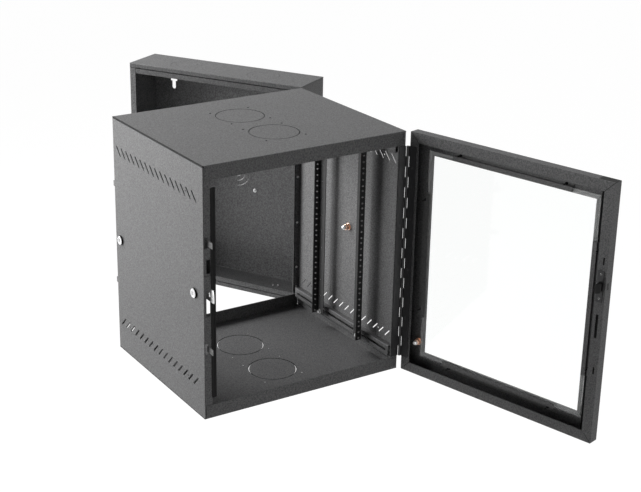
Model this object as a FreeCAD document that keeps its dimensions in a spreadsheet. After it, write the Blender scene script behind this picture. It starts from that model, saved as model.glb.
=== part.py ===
import FreeCAD, Part
import math
import os
import Sketcher

# Swing-out wall cabinet for 19 inch network equipment, 12 units high.
# A shallow wall section is bolted to the wall. The deep main body hangs on it by a piano hinge
# at its rear right edge, and a framed glass door hangs on the body's front right edge.
# Every piece is drawn where it lies when the cabinet is shut, then turned with its group.
# Frame: origin at the centre of the face on the wall, X to the right, Y into the wall, Z up.

SIZES = {
    # Depths and sheets. Width and height follow from the rack rails.
    "body_depth": 453.3,
    "wall_depth": 126.0,
    "door_depth": 25.4,
    "sheet": 1.5,
    "seam_gap": 1.2,
    "panel_seam": 0.7,
    "corner_strip": 4.0,
    "bend_radius": 1.8,
    # How far the two hinges stand open
    "swing_open_angle": 60.0,
    "door_open_angle": 105.0,
    # Piano hinges
    "hinge_end_gap": 35.45,
    "knuckle_count": 21,
    "knuckle_gap": 0.4,
    "pin_clearance": 0.05,
    "door_pin_radius": 1.6,
    "door_leaf_sheet": 1.6,
    "door_hinge_overhang": 4.0,
    "swing_pin_radius": 1.1,
    "swing_leaf_sheet": 1.0,
    "swing_hinge_overhang": 2.7,
    "door_leaf_reach": 23.0,
    "swing_leaf_reach": 20.0,
    "leaf_screw_inset": 8.0,
    "leaf_screw_radius": 1.9,
    "leaf_screw_head_radius": 3.4,
    "leaf_screw_head_height": 1.1,
    "knuckles_per_screw": 5,
    "leaf_end_screw_inset": 20.0,
    "screw_hole_clearance": 0.15,
    # Bands, flanges and lips of the main body
    "front_band": 33.5,
    "rear_band": 34.0,
    "front_flange": 20.5,
    "rear_flange": 18.0,
    "hinge_rear_flange": 13.4,
    "side_lip": 15.0,
    "side_lip_inset": 26.0,
    "band_hole_radius": 1.6,
    "band_hole_inset": 15.3,
    "band_hole_edge": 5.2,
    "band_hole_spacing": 20.6,
    # Vent slots in both side panels
    "vent_length": 27.0,
    "vent_width": 3.0,
    "vent_pitch": 25.4,
    "vent_first_setback": 43.0,
    "vent_last_margin": 25.0,
    "vent_edge_distance": 78.0,
    "vent_hole_radius": 2.2,
    # Fan knock-outs in top and floor
    "fan_radius": 58.0,
    "fan_kerf": 1.4,
    "fan_bridge": 3.0,
    "fan_front_setback": 147.0,
    "fan_pitch": 158.0,
    "fan_bolt_square": 105.0,
    "fan_bolt_radius": 2.2,
    # Braces that carry the rails
    "brace_standoff": 14.9,
    "brace_height": 27.0,
    "brace_sheet": 2.0,
    "brace_front_setback": 19.0,
    "brace_rear_setback": 7.0,
    "brace_slot_width": 6.0,
    "brace_slot_margin": 12.0,
    # Rack rails to the 19 inch standard
    "rack_unit": 44.45,
    "rack_units": 12,
    "rack_margin": 35.45,
    "rack_hole_inset": 7.55,
    "rack_first_hole": 6.35,
    "rack_hole_step": 15.875,
    "rack_hole_radius": 2.4,
    "rail_clear_width": 450.0,
    "rail_face": 16.3,
    "rail_leg": 31.0,
    "rail_sheet": 2.0,
    "rail_standoff": 10.5,
    "front_rail_setback": 119.0,
    "rear_rail_setback": 319.0,
    "rail_bolt_radius": 2.5,
    "rail_bolt_head_radius": 4.75,
    "rail_bolt_head_height": 4.0,
    "rail_washer_radius": 6.2,
    "rail_washer_height": 1.0,
    "rail_nut_height": 4.0,
    "rail_bolt_tail": 1.5,
    "bolt_hole_clearance": 0.2,
    "rail_spacer_wall": 1.9,
    # Quarter-turn locks on the left side
    "lock_height": 297.0,
    "front_lock_setback": 44.4,
    "rear_lock_setback": 27.8,
    "lock_bezel_radius": 12.0,
    "lock_bezel_height": 5.0,
    "lock_barrel_radius": 9.5,
    "lock_back_gap": 0.3,
    "lock_plug_radius": 6.5,
    "lock_plug_recess": 0.6,
    "lock_nut_radius": 14.0,
    "lock_nut_height": 4.0,
    "lock_fit": 0.06,
    "key_slot_length": 8.0,
    "key_slot_width": 1.8,
    "key_slot_depth": 3.0,
    "cam_inset": 12.0,
    "cam_sheet": 2.5,
    "cam_hub": 8.5,
    "cam_bore_radius": 3.0,
    "cam_shank_top": 12.0,
    "cam_neck_top": 6.0,
    "cam_neck_start": 2.0,
    "cam_hook_top": 25.0,
    "cam_bottom": 5.0,
    "cam_hook_clearance": 1.3,
    "cam_back_clearance": 8.6,
    "rear_cam_hook_depth": 12.0,
    "cam_head_radius": 5.0,
    "cam_head_height": 2.0,
    "cam_slot_near_play": 5.7,
    "cam_slot_far_play": 1.4,
    "cam_slot_top_play": 1.6,
    "cam_slot_drop": 44.0,
    "keeper_slot_play": 1.8,
    "keeper_slot_rise": 9.0,
    "keeper_slot_drop": 46.0,
    # Guide tongues that line the parts up as they shut
    "guide_spacing": 254.0,
    "guide_rise": 4.5,
    "guide_inset": 8.7,
    "guide_sheet": 1.5,
    "guide_height": 14.0,
    "guide_reach": 24.0,
    "guide_window_near_play": 6.5,
    "guide_window_far_play": 0.3,
    "guide_window_height": 26.0,
    "guide_slot_play": 0.8,
    "guide_slot_height": 17.0,
    # Strike for the door latch
    "strike_rise": 74.5,
    "strike_near": 1.8,
    "strike_length": 52.0,
    "strike_depth": 17.0,
    "strike_sheet": 1.5,
    "strike_wall": 1.0,
    "strike_hole_near": 7.5,
    "strike_hole_margin": 1.2,
    "strike_hole_length": 32.0,
    "strike_window_near": 2.3,
    "strike_window_margin": 0.8,
    "strike_window_length": 44.0,
    # Seal strip gripped on the left front flange
    "seal_grip": 2.5,
    "seal_reach": 9.0,
    "seal_lip": 1.3,
    "seal_end_gap": 18.65,
    "seal_clearance": 0.2,
    "seal_groove": 0.8,
    # Earth studs
    "earth_stud_radius": 4.0,
    "earth_stud_tail": 1.2,
    "earth_nut_radius": 8.0,
    "earth_nut_height": 5.5,
    "earth_washer_radius": 9.2,
    "earth_washer_height": 1.2,
    "earth_end_nut_radius": 7.0,
    "wall_stud_radius": 2.5,
    "wall_stud_tail": 2.0,
    "wall_nut_radius": 4.6,
    "wall_nut_height": 3.2,
    "wall_washer_radius": 5.4,
    "wall_washer_height": 0.8,
    "body_earth_setback": 222.0,
    "body_earth_height": 299.5,
    "wall_earth_across": 60.0,
    "wall_earth_height": 252.0,
    "door_earth_inset": 33.2,
    "door_earth_height": 76.0,
    # Wall section
    "wall_flange": 18.4,
    "wall_lip": 11.0,
    "wall_brace_gap": 2.6,
    "wall_brace_flange": 13.2,
    "wall_brace_web": 12.0,
    "wall_side_lip": 12.0,
    "keyhole_across": 203.0,
    "keyhole_edge_distance": 62.5,
    "keyhole_head_width": 21.3,
    "keyhole_head_height": 7.5,
    "keyhole_slot_width": 11.6,
    "keyhole_length": 30.0,
    "fixing_across": 406.4,
    "fixing_upright": 300.0,
    "fixing_hole_radius": 4.25,
    "knockout_small_radius": 16.5,
    "knockout_middle_radius": 29.5,
    "knockout_large_radius": 43.5,
    "knockout_kerf": 0.7,
    "plate_knockout_across": 120.0,
    "knockout_bridge": 3.0,
    # Door frame, glass and the bars that clamp the glass
    "door_return": 24.0,
    "door_border": 53.0,
    "mitre_gap": 0.5,
    "glass_side_gap": 1.5,
    "glass_thickness": 4.0,
    "glass_gasket": 1.5,
    "gasket_margin": 0.5,
    "clip_length": 314.0,
    "clip_foot_edge": 29.0,
    "clip_riser_edge": 41.0,
    "clip_lip_edge": 50.0,
    "clip_stud_offset": 5.2,
    "clip_stud_inset": 18.0,
    "clip_stud_radius": 1.7,
    "clip_stud_length": 14.0,
    "clip_nut_radius": 3.5,
    "clip_nut_height": 3.2,
    # Sprung latch in the door's free edge
    "latch_plate_near": 5.6,
    "latch_plate_far": 20.6,
    "latch_plate_length": 71.0,
    "latch_plate_sheet": 1.5,
    "latch_screw_spacing": 55.0,
    "latch_screw_radius": 1.8,
    "latch_screw_head_radius": 2.6,
    "latch_screw_head_height": 1.4,
    "latch_case_far": 25.0,
    "latch_case_wall": 2.5,
    "latch_case_length": 46.0,
    "latch_case_depth": 14.0,
    "latch_shank_near": 8.3,
    "latch_shank_thickness": 4.5,
    "latch_tongue_height": 21.0,
    "latch_reach": 19.5,
    "latch_nose": 3.5,
    "latch_stroke": 3.5,
    "latch_play": 0.3,
    "latch_button_height": 15.0,
    "latch_button_thickness": 7.0,
    "latch_spring_reach": 4.2,
    "latch_spring_height": 12.0,
    "latch_spring_sheet": 0.7,
}

document = FreeCAD.newDocument("swing_out_wall_cabinet")
sheet_cells = document.addObject("Spreadsheet::Sheet", "sizes")
for row, (alias, value) in enumerate(SIZES.items(), 1):
    sheet_cells.set(f"A{row}", alias)
    sheet_cells.set(f"B{row}", str(value))
    sheet_cells.setAlias(f"B{row}", alias)
document.recompute()


class Size:
    """A length, with the sheet formula that gives it."""

    def __init__(self, number, formula):
        self.number = number
        self.formula = formula

    def joined(self, other, sign, result):
        other = as_size(other)
        return Size(result(self.number, other.number), f"({self.formula} {sign} {other.formula})")

    def __add__(self, other):
        return self.joined(other, "+", lambda a, b: a + b)

    def __sub__(self, other):
        return self.joined(other, "-", lambda a, b: a - b)

    def __mul__(self, other):
        return self.joined(other, "*", lambda a, b: a * b)

    def __truediv__(self, other):
        return self.joined(other, "/", lambda a, b: a / b)

    def __radd__(self, other):
        return as_size(other) + self

    def __rsub__(self, other):
        return as_size(other) - self

    def __rmul__(self, other):
        return as_size(other) * self

    def __neg__(self):
        return as_size(0) - self


def as_size(value):
    return value if isinstance(value, Size) else Size(float(value), f"({float(value)!r})")


def whole(value):
    """The number of whole items that a size gives."""
    return Size(math.floor(value.number + 1e-6), f"floor({value.formula} + 0.000001)")


class Named:
    """The sheet's sizes as attributes."""

    def __init__(self):
        for alias in SIZES:
            setattr(self, alias, Size(float(sheet_cells.get(alias)), f"sizes.{alias}"))


size = Named()

# Planes and lines that several pieces share
rack_units = whole(size.rack_units)
knuckle_count = whole(size.knuckle_count)
rail_low = -size.rack_unit * rack_units / 2
rail_edge = size.rail_clear_width / 2 + size.rail_face
brace_face = rail_edge + size.rail_standoff
half_width = brace_face + size.brace_standoff
top = size.rack_margin - rail_low
bottom = -top
inside_top = top - size.sheet
wall_front = -size.wall_depth
swing_knuckle = size.swing_pin_radius + size.pin_clearance + size.swing_leaf_sheet
door_knuckle = size.door_pin_radius + size.pin_clearance + size.door_leaf_sheet
body_rear = wall_front - swing_knuckle * 2
body_front = body_rear - size.body_depth
door_inner = body_front - door_knuckle * 2
door_outer = door_inner - size.door_depth
door_skin = door_outer + size.sheet
swing_axis = (half_width + size.swing_hinge_overhang, wall_front - swing_knuckle)
door_axis = (half_width + size.door_hinge_overhang, body_front - door_knuckle)
left = -half_width
hinge_length = (top - size.hinge_end_gap) * 2
knuckle_pitch = hinge_length / knuckle_count
lock_level = bottom + size.lock_height
strike_level = lock_level + size.strike_rise
strike_far = size.front_flange - size.seal_grip - size.seal_clearance
rail_bolt_level = rail_low + size.rack_first_hole
clip_stud_edge = size.clip_riser_edge - size.clip_stud_offset
glass_edge = size.clip_riser_edge + size.glass_side_gap


def spun(x, y, angle):
    """A place turned about the upright line through the origin."""
    turn = math.radians(angle.number)
    cosine = Size(math.cos(turn), f"cos({angle.formula} * 1 deg)")
    sine = Size(math.sin(turn), f"sin({angle.formula} * 1 deg)")
    return x * cosine - y * sine, x * sine + y * cosine


def hinged(axis, angle, carrier):
    """A group's shift and turn: it swings about an upright hinge and goes along with its carrier."""
    swung = spun(*axis, angle)
    carried = spun(axis[0] - swung[0], axis[1] - swung[1], carrier[2])
    return carrier[0] + carried[0], carrier[1] + carried[1], carrier[2] + angle


WALL = (as_size(0), as_size(0), as_size(0))
BODY = hinged(swing_axis, size.swing_open_angle, WALL)
DOOR = hinged(door_axis, size.door_open_angle, BODY)
pieces = []


def named_piece(piece, label, group):
    shift_x, shift_y, angle = group
    piece.Label = label
    piece.Placement = FreeCAD.Placement(
        FreeCAD.Vector(shift_x.number, shift_y.number, 0),
        FreeCAD.Rotation(FreeCAD.Vector(0, 0, 1), angle.number),
    )
    if group is not WALL:
        piece.setExpression("Placement.Base.x", shift_x.formula)
        piece.setExpression("Placement.Base.y", shift_y.formula)
        piece.setExpression("Placement.Rotation.Angle", angle.formula)
    pieces.append(piece)
    return piece


def new_body(label, group):
    return named_piece(document.addObject("PartDesign::Body", label), label, group)


def origin_feature(body, role):
    return next(feature for feature in body.Origin.OriginFeatures if feature.Role == role)


def new_sketch(body, plane, shift):
    """A sketch on one of the body's own planes, moved in that plane and along its normal."""
    sketch = body.newObject("Sketcher::SketchObject", "Sketch")
    sketch.AttachmentSupport = [(origin_feature(body, plane + "_Plane"), "")]
    sketch.MapMode = "FlatFace"
    numbers = [as_size(amount).number for amount in shift]
    sketch.AttachmentOffset = FreeCAD.Placement(FreeCAD.Vector(*numbers), FreeCAD.Rotation())
    for axis, amount in zip("xyz", shift):
        sketch.setExpression(f"AttachmentOffset.Base.{axis}", as_size(amount).formula)
    return sketch


def constrain(sketch, kind, references, value):
    index = sketch.addConstraint(Sketcher.Constraint(kind, *references, value.number))
    sketch.setExpression(f"Constraints[{index}]", value.formula)


def pin_point(sketch, edge, end, place):
    """Hold a point of the sketch at its distances from the sketch's origin."""
    for kind, value in zip(("DistanceX", "DistanceY"), place):
        constrain(sketch, kind, (-1, 1, edge, end), as_size(value))


def flat(place):
    return FreeCAD.Vector(as_size(place[0]).number, as_size(place[1]).number, 0)


def polygon(*corners):
    def draw(sketch):
        first = sketch.GeometryCount
        following = corners[1:] + corners[:1]
        lines = [Part.LineSegment(flat(a), flat(b)) for a, b in zip(corners, following)]
        sketch.addGeometry(lines, False)
        for index in range(len(corners)):
            after = (index + 1) % len(corners)
            sketch.addConstraint(
                Sketcher.Constraint("Coincident", first + index, 2, first + after, 1)
            )
        for index, corner in enumerate(corners):
            pin_point(sketch, first + index, 1, corner)

    return draw


def rectangle(low_u, low_v, high_u, high_v):
    return polygon((low_u, low_v), (high_u, low_v), (high_u, high_v), (low_u, high_v))


def circle(place, radius):
    def draw(sketch):
        ring = Part.Circle(flat(place), FreeCAD.Vector(0, 0, 1), radius.number)
        edge = sketch.addGeometry(ring, False)
        pin_point(sketch, edge, 3, place)
        constrain(sketch, "Radius", (edge,), radius)

    return draw


def long_slot(start, finish, radius):
    """A slot with round ends, upright or level, between the centres of its ends."""

    def draw(sketch):
        first = sketch.GeometryCount
        a, b = flat(start), flat(finish)
        turn = math.atan2(b.y - a.y, b.x - a.x)
        across = FreeCAD.Vector(-math.sin(turn), math.cos(turn), 0) * radius.number
        up = FreeCAD.Vector(0, 0, 1)
        quarter = math.pi / 2
        sketch.addGeometry(
            [
                Part.ArcOfCircle(
                    Part.Circle(a, up, radius.number), turn + quarter, turn + 3 * quarter
                ),
                Part.LineSegment(a - across, b - across),
                Part.ArcOfCircle(Part.Circle(b, up, radius.number), turn - quarter, turn + quarter),
                Part.LineSegment(b + across, a + across),
            ],
            False,
        )
        for near, near_end, far, far_end in ((0, 2, 1, 1), (1, 2, 2, 1), (2, 2, 3, 1), (3, 2, 0, 1)):
            sketch.addConstraint(
                Sketcher.Constraint("Tangent", first + near, near_end, first + far, far_end)
            )
        pin_point(sketch, first, 3, start)
        pin_point(sketch, first + 2, 3, finish)
        constrain(sketch, "Radius", (first,), radius)

    return draw


def quarter_kerf(radius, kerf, bridge):
    """A quarter of a round cut, which stops short of the axes by half a bridge."""

    def draw(sketch):
        inner, outer = radius - kerf / 2, radius + kerf / 2
        half = bridge / 2
        first = sketch.GeometryCount
        up = FreeCAD.Vector(0, 0, 1)
        ends = []
        for ring in (inner, outer):
            start = math.asin(half.number / ring.number)
            arc = Part.ArcOfCircle(
                Part.Circle(FreeCAD.Vector(), up, ring.number), start, math.pi / 2 - start
            )
            sketch.addGeometry(arc, False)
            ends.append((arc.StartPoint, arc.EndPoint))
        sketch.addGeometry(Part.LineSegment(ends[0][0], ends[1][0]), False)
        sketch.addGeometry(Part.LineSegment(ends[0][1], ends[1][1]), False)
        for arc, ring in ((first, inner), (first + 1, outer)):
            sketch.addConstraint(Sketcher.Constraint("Coincident", arc, 3, -1, 1))
            constrain(sketch, "Radius", (arc,), ring)
        for line, arc_end in ((first + 2, 1), (first + 3, 2)):
            sketch.addConstraint(Sketcher.Constraint("Coincident", line, 1, first, arc_end))
            sketch.addConstraint(Sketcher.Constraint("Coincident", line, 2, first + 1, arc_end))
        sketch.addConstraint(Sketcher.Constraint("Horizontal", first + 2))
        sketch.addConstraint(Sketcher.Constraint("Vertical", first + 3))
        constrain(sketch, "DistanceY", (-1, 1, first + 2, 1), half)
        constrain(sketch, "DistanceX", (-1, 1, first + 3, 1), half)

    return draw


def prism(body, kind, plane, low, high, *outlines, centre=(0, 0)):
    """A pad or pocket of some outlines, between two positions along the plane's axis."""
    start = -as_size(high) if plane == "XZ" else as_size(low)
    sketch = new_sketch(body, plane, (*centre, start))
    for draw in outlines:
        draw(sketch)
    feature = body.newObject("PartDesign::" + kind, kind)
    feature.Profile = sketch
    length = as_size(high) - low
    feature.Length = length.number
    feature.setExpression("Length", length.formula)
    if kind == "Pocket":
        feature.Reversed = True
    return feature


def pad(body, plane, low, high, *outlines, **options):
    return prism(body, "Pad", plane, low, high, *outlines, **options)


def pocket(body, plane, low, high, *outlines, **options):
    return prism(body, "Pocket", plane, low, high, *outlines, **options)


def repeat(body, features, axis, pitch, count):
    """Copies of some features in a row along one of the body's own axes."""
    pattern = body.newObject("PartDesign::LinearPattern", "LinearPattern")
    pattern.Originals = features
    pattern.Direction = (origin_feature(body, axis + "_Axis"), [""])
    span = pitch * (count - 1)
    pattern.Length = span.number
    pattern.setExpression("Length", span.formula)
    pattern.Occurrences = count
    body.Tip = pattern
    return pattern


def four_ways(body, feature):
    """Four copies of a cut, turned about the normal of its own sketch."""
    pattern = body.newObject("PartDesign::PolarPattern", "PolarPattern")
    pattern.Originals = [feature]
    pattern.Axis = (feature.Profile[0], ["N_Axis"])
    pattern.Angle = 360
    pattern.Occurrences = 4
    body.Tip = pattern
    return pattern


def folded(path, thickness, side):
    """The outline of a strip bent along a square-cornered path, thick to its left (1) or right (-1)."""
    normals = []
    for (ax, ay), (bx, by) in zip(path, path[1:]):
        run_x = as_size(bx).number - as_size(ax).number
        run_y = as_size(by).number - as_size(ay).number
        if abs(run_x) > abs(run_y):
            normals.append((0, side * math.copysign(1, run_x)))
        else:
            normals.append((-side * math.copysign(1, run_y), 0))
    inner = []
    for index, (x, y) in enumerate(path):
        beside = {normals[max(index - 1, 0)], normals[min(index, len(normals) - 1)]}
        step_x = sum(normal[0] for normal in beside)
        step_y = sum(normal[1] for normal in beside)
        inner.append((x + thickness * step_x, y + thickness * step_y))
    return polygon(*path, *reversed(inner))


def round_bends(body, feature, axis, corners, radius):
    """Fillet the edges that run along an axis through the given corners."""
    document.recompute()
    others = [index for index in range(3) if index != "XYZ".index(axis)]
    names = []
    for number, edge in enumerate(feature.Shape.Edges, 1):
        middle = edge.valueAt((edge.FirstParameter + edge.LastParameter) / 2)
        along = edge.tangentAt(edge.FirstParameter)
        if abs(along["XYZ".index(axis)]) < 0.999:
            continue
        for corner in corners:
            away = max(
                abs(middle[other] - as_size(value).number) for other, value in zip(others, corner)
            )
            if away < 1e-3:
                names.append(f"Edge{number}")
    fillet = body.newObject("PartDesign::Fillet", "Fillet")
    fillet.Base = (feature, names)
    fillet.Radius = radius.number
    fillet.setExpression("Radius", radius.formula)
    return fillet


def place_at(item, place, rotation=None):
    """Put a primitive somewhere, with its base bound to the sheet."""
    numbers = [as_size(amount).number for amount in place]
    item.Placement = FreeCAD.Placement(FreeCAD.Vector(*numbers), rotation or FreeCAD.Rotation())
    for axis, amount in zip("xyz", place):
        item.setExpression(f"Placement.Base.{axis}", as_size(amount).formula)
    return item


ALONG = {
    "+X": FreeCAD.Rotation(FreeCAD.Vector(0, 1, 0), 90),
    "-X": FreeCAD.Rotation(FreeCAD.Vector(0, 1, 0), -90),
    "+Y": FreeCAD.Rotation(FreeCAD.Vector(1, 0, 0), -90),
    "-Y": FreeCAD.Rotation(FreeCAD.Vector(1, 0, 0), 90),
    "+Z": FreeCAD.Rotation(),
}
STEP = {"+X": (1, 0, 0), "-X": (-1, 0, 0), "+Y": (0, 1, 0), "-Y": (0, -1, 0), "+Z": (0, 0, 1)}


def further(place, direction, distance):
    """A place moved along a direction."""
    return tuple(amount + distance * step for amount, step in zip(place, STEP[direction]))


def rod(place, direction, radius, length):
    item = document.addObject("Part::Cylinder", "Cylinder")
    for name, value in (("Radius", radius), ("Height", length)):
        setattr(item, name, value.number)
        item.setExpression(name, value.formula)
    return place_at(item, place, ALONG[direction])


def hexagon(place, direction, radius, length):
    item = document.addObject("Part::Prism", "Prism")
    item.Polygon = 6
    for name, value in (("Circumradius", radius), ("Height", length)):
        setattr(item, name, value.number)
        item.setExpression(name, value.formula)
    return place_at(item, place, ALONG[direction])


def joined(*items):
    fuse = document.addObject("Part::MultiFuse", "Fusion")
    fuse.Shapes = list(items)
    return fuse


def bored(item, place, direction, radius, length):
    """An item with a round hole through it."""
    cut = document.addObject("Part::Cut", "Cut")
    cut.Base = item
    cut.Tool = rod(place, direction, radius, length)
    return cut


def grouped(label, group, items):
    """One node of several separate like solids."""
    compound = document.addObject("Part::Compound", label)
    compound.Links = items
    return named_piece(compound, label, group)


def fastener(seat, direction, head_radius, head_height, shank_radius, shank_length, head=rod):
    """A screw: its head stands on the seat, and its shank goes the other way."""
    opposite = ("-" if direction[0] == "+" else "+") + direction[1]
    return joined(
        head(seat, direction, head_radius, head_height),
        rod(seat, opposite, shank_radius, shank_length),
    )


def nut_on(seat, direction, radius, height, bore):
    return bored(hexagon(seat, direction, radius, height), seat, direction, bore, height)


# Wall section: back pan, top and bottom caps, front braces


def screw_levels():
    """Heights of the hinge screws: four on a pitch, and one near each end."""
    end = hinge_length / 2 - size.leaf_end_screw_inset
    pitch = knuckle_pitch * size.knuckles_per_screw
    pitched = [pitch * step for step in (-1.5, -0.5, 0.5, 1.5)]
    return [-end, *pitched, end]


def offset_levels():
    """Screw heights on the facing leaf, half a knuckle pair away so that no two heads meet."""
    return [level + knuckle_pitch for level in screw_levels()[:-1]]


def guide_levels():
    middle = lock_level + size.guide_rise
    return [middle + size.guide_spacing * half for half in (-0.5, 0.5)]


def guide_slots():
    """Upright slots that the guide tongues slip into."""
    near = left + size.guide_inset - size.guide_slot_play
    far = left + size.guide_inset + size.guide_sheet + size.guide_slot_play * 2
    reach = size.guide_slot_height / 2
    return [rectangle(near, level - reach, far, level + reach) for level in guide_levels()]


def keeper_slot():
    """The slot that a lock cam hooks behind."""
    return rectangle(
        left + size.cam_inset - size.keeper_slot_play,
        lock_level - size.keeper_slot_drop,
        left + size.cam_inset + size.cam_sheet + size.keeper_slot_play,
        lock_level + size.keeper_slot_rise,
    )


def make_wall_pan():
    pan = new_body("wall_pan", WALL)
    edge = half_width - size.wall_flange
    path = [
        (-edge, wall_front),
        (left, wall_front),
        (left, as_size(0)),
        (half_width, as_size(0)),
        (half_width, wall_front),
        (edge, wall_front),
    ]
    side_top = inside_top - size.panel_seam
    shell = pad(pan, "XY", -side_top, side_top, folded(path, size.sheet, -1))
    corners = [(left, wall_front), (left, 0), (half_width, 0), (half_width, wall_front)]
    round_bends(pan, shell, "Z", corners, size.bend_radius)
    notch = top - size.wall_lip - size.seam_gap
    inner_side = half_width - size.sheet
    flange_back = wall_front + size.sheet
    for low, high in ((notch, top), (-top, -notch)):
        pocket(pan, "XZ", wall_front, flange_back, rectangle(-inner_side, low, inner_side, high))
    pocket(pan, "XZ", wall_front, flange_back, keeper_slot(), *guide_slots())
    screw_hole = size.leaf_screw_radius + size.screw_hole_clearance
    hinge_line = half_width - size.leaf_screw_inset
    screws = [circle((hinge_line, level), screw_hole) for level in offset_levels()]
    pocket(pan, "XZ", wall_front, flange_back, *screws)
    heads = []
    slots = []
    holes = []
    for side in (-1, 1):
        for end in (-1, 1):
            across = size.keyhole_across * side
            level = top - size.keyhole_edge_distance
            half_head = size.keyhole_head_width / 2
            low = level - size.keyhole_head_height
            heads.append(rectangle(across - half_head, low * end, across + half_head, level * end))
            radius = size.keyhole_slot_width / 2
            tip = level - size.keyhole_length + radius
            slots.append(long_slot((across, tip * end), (across, (low + radius) * end), radius))
            hole = (size.fixing_across / 2 * side, size.fixing_upright / 2 * end)
            holes.append(circle(hole, size.fixing_hole_radius))
    earth = (size.wall_earth_across, bottom + size.wall_earth_height)
    earth_hole = circle(earth, size.wall_stud_radius + size.bolt_hole_clearance)
    pocket(pan, "XZ", -size.sheet, 0, *heads)
    pocket(pan, "XZ", -size.sheet, 0, *slots)
    pocket(pan, "XZ", -size.sheet, 0, earth_hole, *holes)
    for radius in (
        size.knockout_small_radius,
        size.knockout_middle_radius,
        size.knockout_large_radius,
    ):
        kerf = quarter_kerf(radius, size.knockout_kerf, size.knockout_bridge)
        four_ways(pan, pocket(pan, "XZ", -size.sheet, 0, kerf))


def make_wall_cap(label, end):
    """Top (1) or bottom (-1) plate of the wall section, with its front lip and side lips."""
    cap = new_body(label, WALL)
    path = [(wall_front, (top - size.wall_lip) * end), (wall_front, top * end), (as_size(0), top * end)]
    plate = pad(cap, "YZ", left, half_width, folded(path, size.sheet, -end))
    round_bends(cap, plate, "X", [(wall_front, top * end)], size.bend_radius)
    trim = half_width - size.sheet - size.seam_gap
    low, high = sorted((inside_top * end, (top - size.wall_lip) * end), key=by_number)
    corner = wall_front + size.sheet
    pocket(
        cap, "XZ", wall_front, corner,
        rectangle(left, low, -trim, high),
        rectangle(trim, low, half_width, high),
    )
    lip_top = inside_top * end
    lip_low = (inside_top - size.wall_side_lip) * end
    outer = half_width - size.sheet
    inner = outer - size.sheet
    start = wall_front + size.side_lip_inset
    pad(
        cap, "XZ", start, -size.side_lip_inset,
        rectangle(inner, lip_low, outer, lip_top),
        rectangle(-outer, lip_low, -inner, lip_top),
    )
    low, high = sorted((top * end, inside_top * end), key=by_number)
    for side in (-1, 1):
        for radius in (size.knockout_middle_radius, size.knockout_large_radius):
            kerf = quarter_kerf(radius, size.knockout_kerf, size.knockout_bridge)
            centre = (size.plate_knockout_across * side, wall_front / 2)
            four_ways(cap, pocket(cap, "XY", low, high, kerf, centre=centre))


def by_number(value):
    return value.number


def make_wall_brace(label, end):
    """Folded stiffener behind the wall section's front lip."""
    brace = new_body(label, WALL)
    web = (top - size.wall_lip - size.wall_brace_gap) * end
    low = (top - size.wall_lip - size.wall_brace_gap - size.wall_brace_flange) * end
    back = wall_front + size.wall_brace_web
    path = [(wall_front, low), (wall_front, web), (back, web), (back, inside_top * end)]
    reach = half_width - size.wall_flange - size.seam_gap
    pad(brace, "YZ", -reach, reach, folded(path, size.sheet, -end))


def make_earth_stud(name, group, seat, direction, through, nuts, stud, nut, washer):
    """An earth stud through a sheet, with a washer and nuts. Stud: radius and tail; the others: radius
    and height. A third nut has the stud's own finish."""
    opposite = ("-" if direction[0] == "+" else "+") + direction[1]
    bore = stud[0] + size.lock_fit
    hoop = bored(rod(seat, direction, *washer), seat, direction, bore, washer[1])
    place = further(seat, direction, washer[1])
    plain, length = [hoop], washer[1]
    finished = []
    for number in range(nuts):
        radius = nut[0] if number < 2 else size.earth_end_nut_radius
        keeper = plain if number < 2 else finished
        keeper.append(nut_on(place, direction, radius, nut[1], bore))
        place = further(place, direction, nut[1])
        length = length + nut[1]
    pin = rod(further(seat, opposite, through), direction, stud[0], length + through + stud[1])
    grouped(name + "_stud", group, [pin, *finished])
    grouped(name + "_nuts", group, plain)


# Main body: top and floor, side panels, braces, rails


def fan_places():
    front = body_front + size.fan_front_setback
    return [front, front + size.fan_pitch]


def make_body_cap(label, end):
    """Top (1) or floor (-1) of the main body: bands at front and rear, lips at the sides."""
    cap = new_body(label, BODY)
    level = top * end
    path = [
        (body_front, (top - size.front_band) * end),
        (body_front, level),
        (body_rear, level),
        (body_rear, (top - size.rear_band) * end),
    ]
    plate = pad(cap, "YZ", left, half_width, folded(path, size.sheet, -end))
    round_bends(cap, plate, "X", [(body_front, level), (body_rear, level)], size.bend_radius)
    trim = half_width - size.corner_strip
    outer = half_width - size.sheet
    inner = outer - size.sheet
    for face, back, band in (
        (body_front, body_front + size.sheet, size.front_band),
        (body_rear - size.sheet, body_rear, size.rear_band),
    ):
        low, high = sorted((inside_top * end, (top - band) * end), key=by_number)
        pocket(
            cap, "XZ", face, back,
            rectangle(left, low, -trim, high),
            rectangle(trim, low, half_width, high),
        )
    lip_low = (inside_top - size.side_lip) * end
    pad(
        cap, "XZ", body_front + size.side_lip_inset, body_rear - size.side_lip_inset,
        rectangle(inner, lip_low, outer, inside_top * end),
        rectangle(-outer, lip_low, -inner, inside_top * end),
    )
    low, high = sorted((level, inside_top * end), key=by_number)
    reach = size.fan_bolt_square / 2
    bolts = [
        circle((reach * side, place + reach * way), size.fan_bolt_radius)
        for place in fan_places()
        for side in (-1, 1)
        for way in (-1, 1)
    ]
    pocket(cap, "XY", low, high, *bolts)
    for place in fan_places():
        kerf = quarter_kerf(size.fan_radius, size.fan_kerf, size.fan_bridge)
        four_ways(cap, pocket(cap, "XY", low, high, kerf, centre=(0, place)))
    across = half_width - size.band_hole_inset
    dots = [
        circle((across * side, (top - size.band_hole_edge - down) * end), size.band_hole_radius)
        for side in (-1, 1)
        for down in (0, size.band_hole_spacing)
    ]
    pocket(cap, "XZ", body_front, body_front + size.sheet, *dots)


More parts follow.
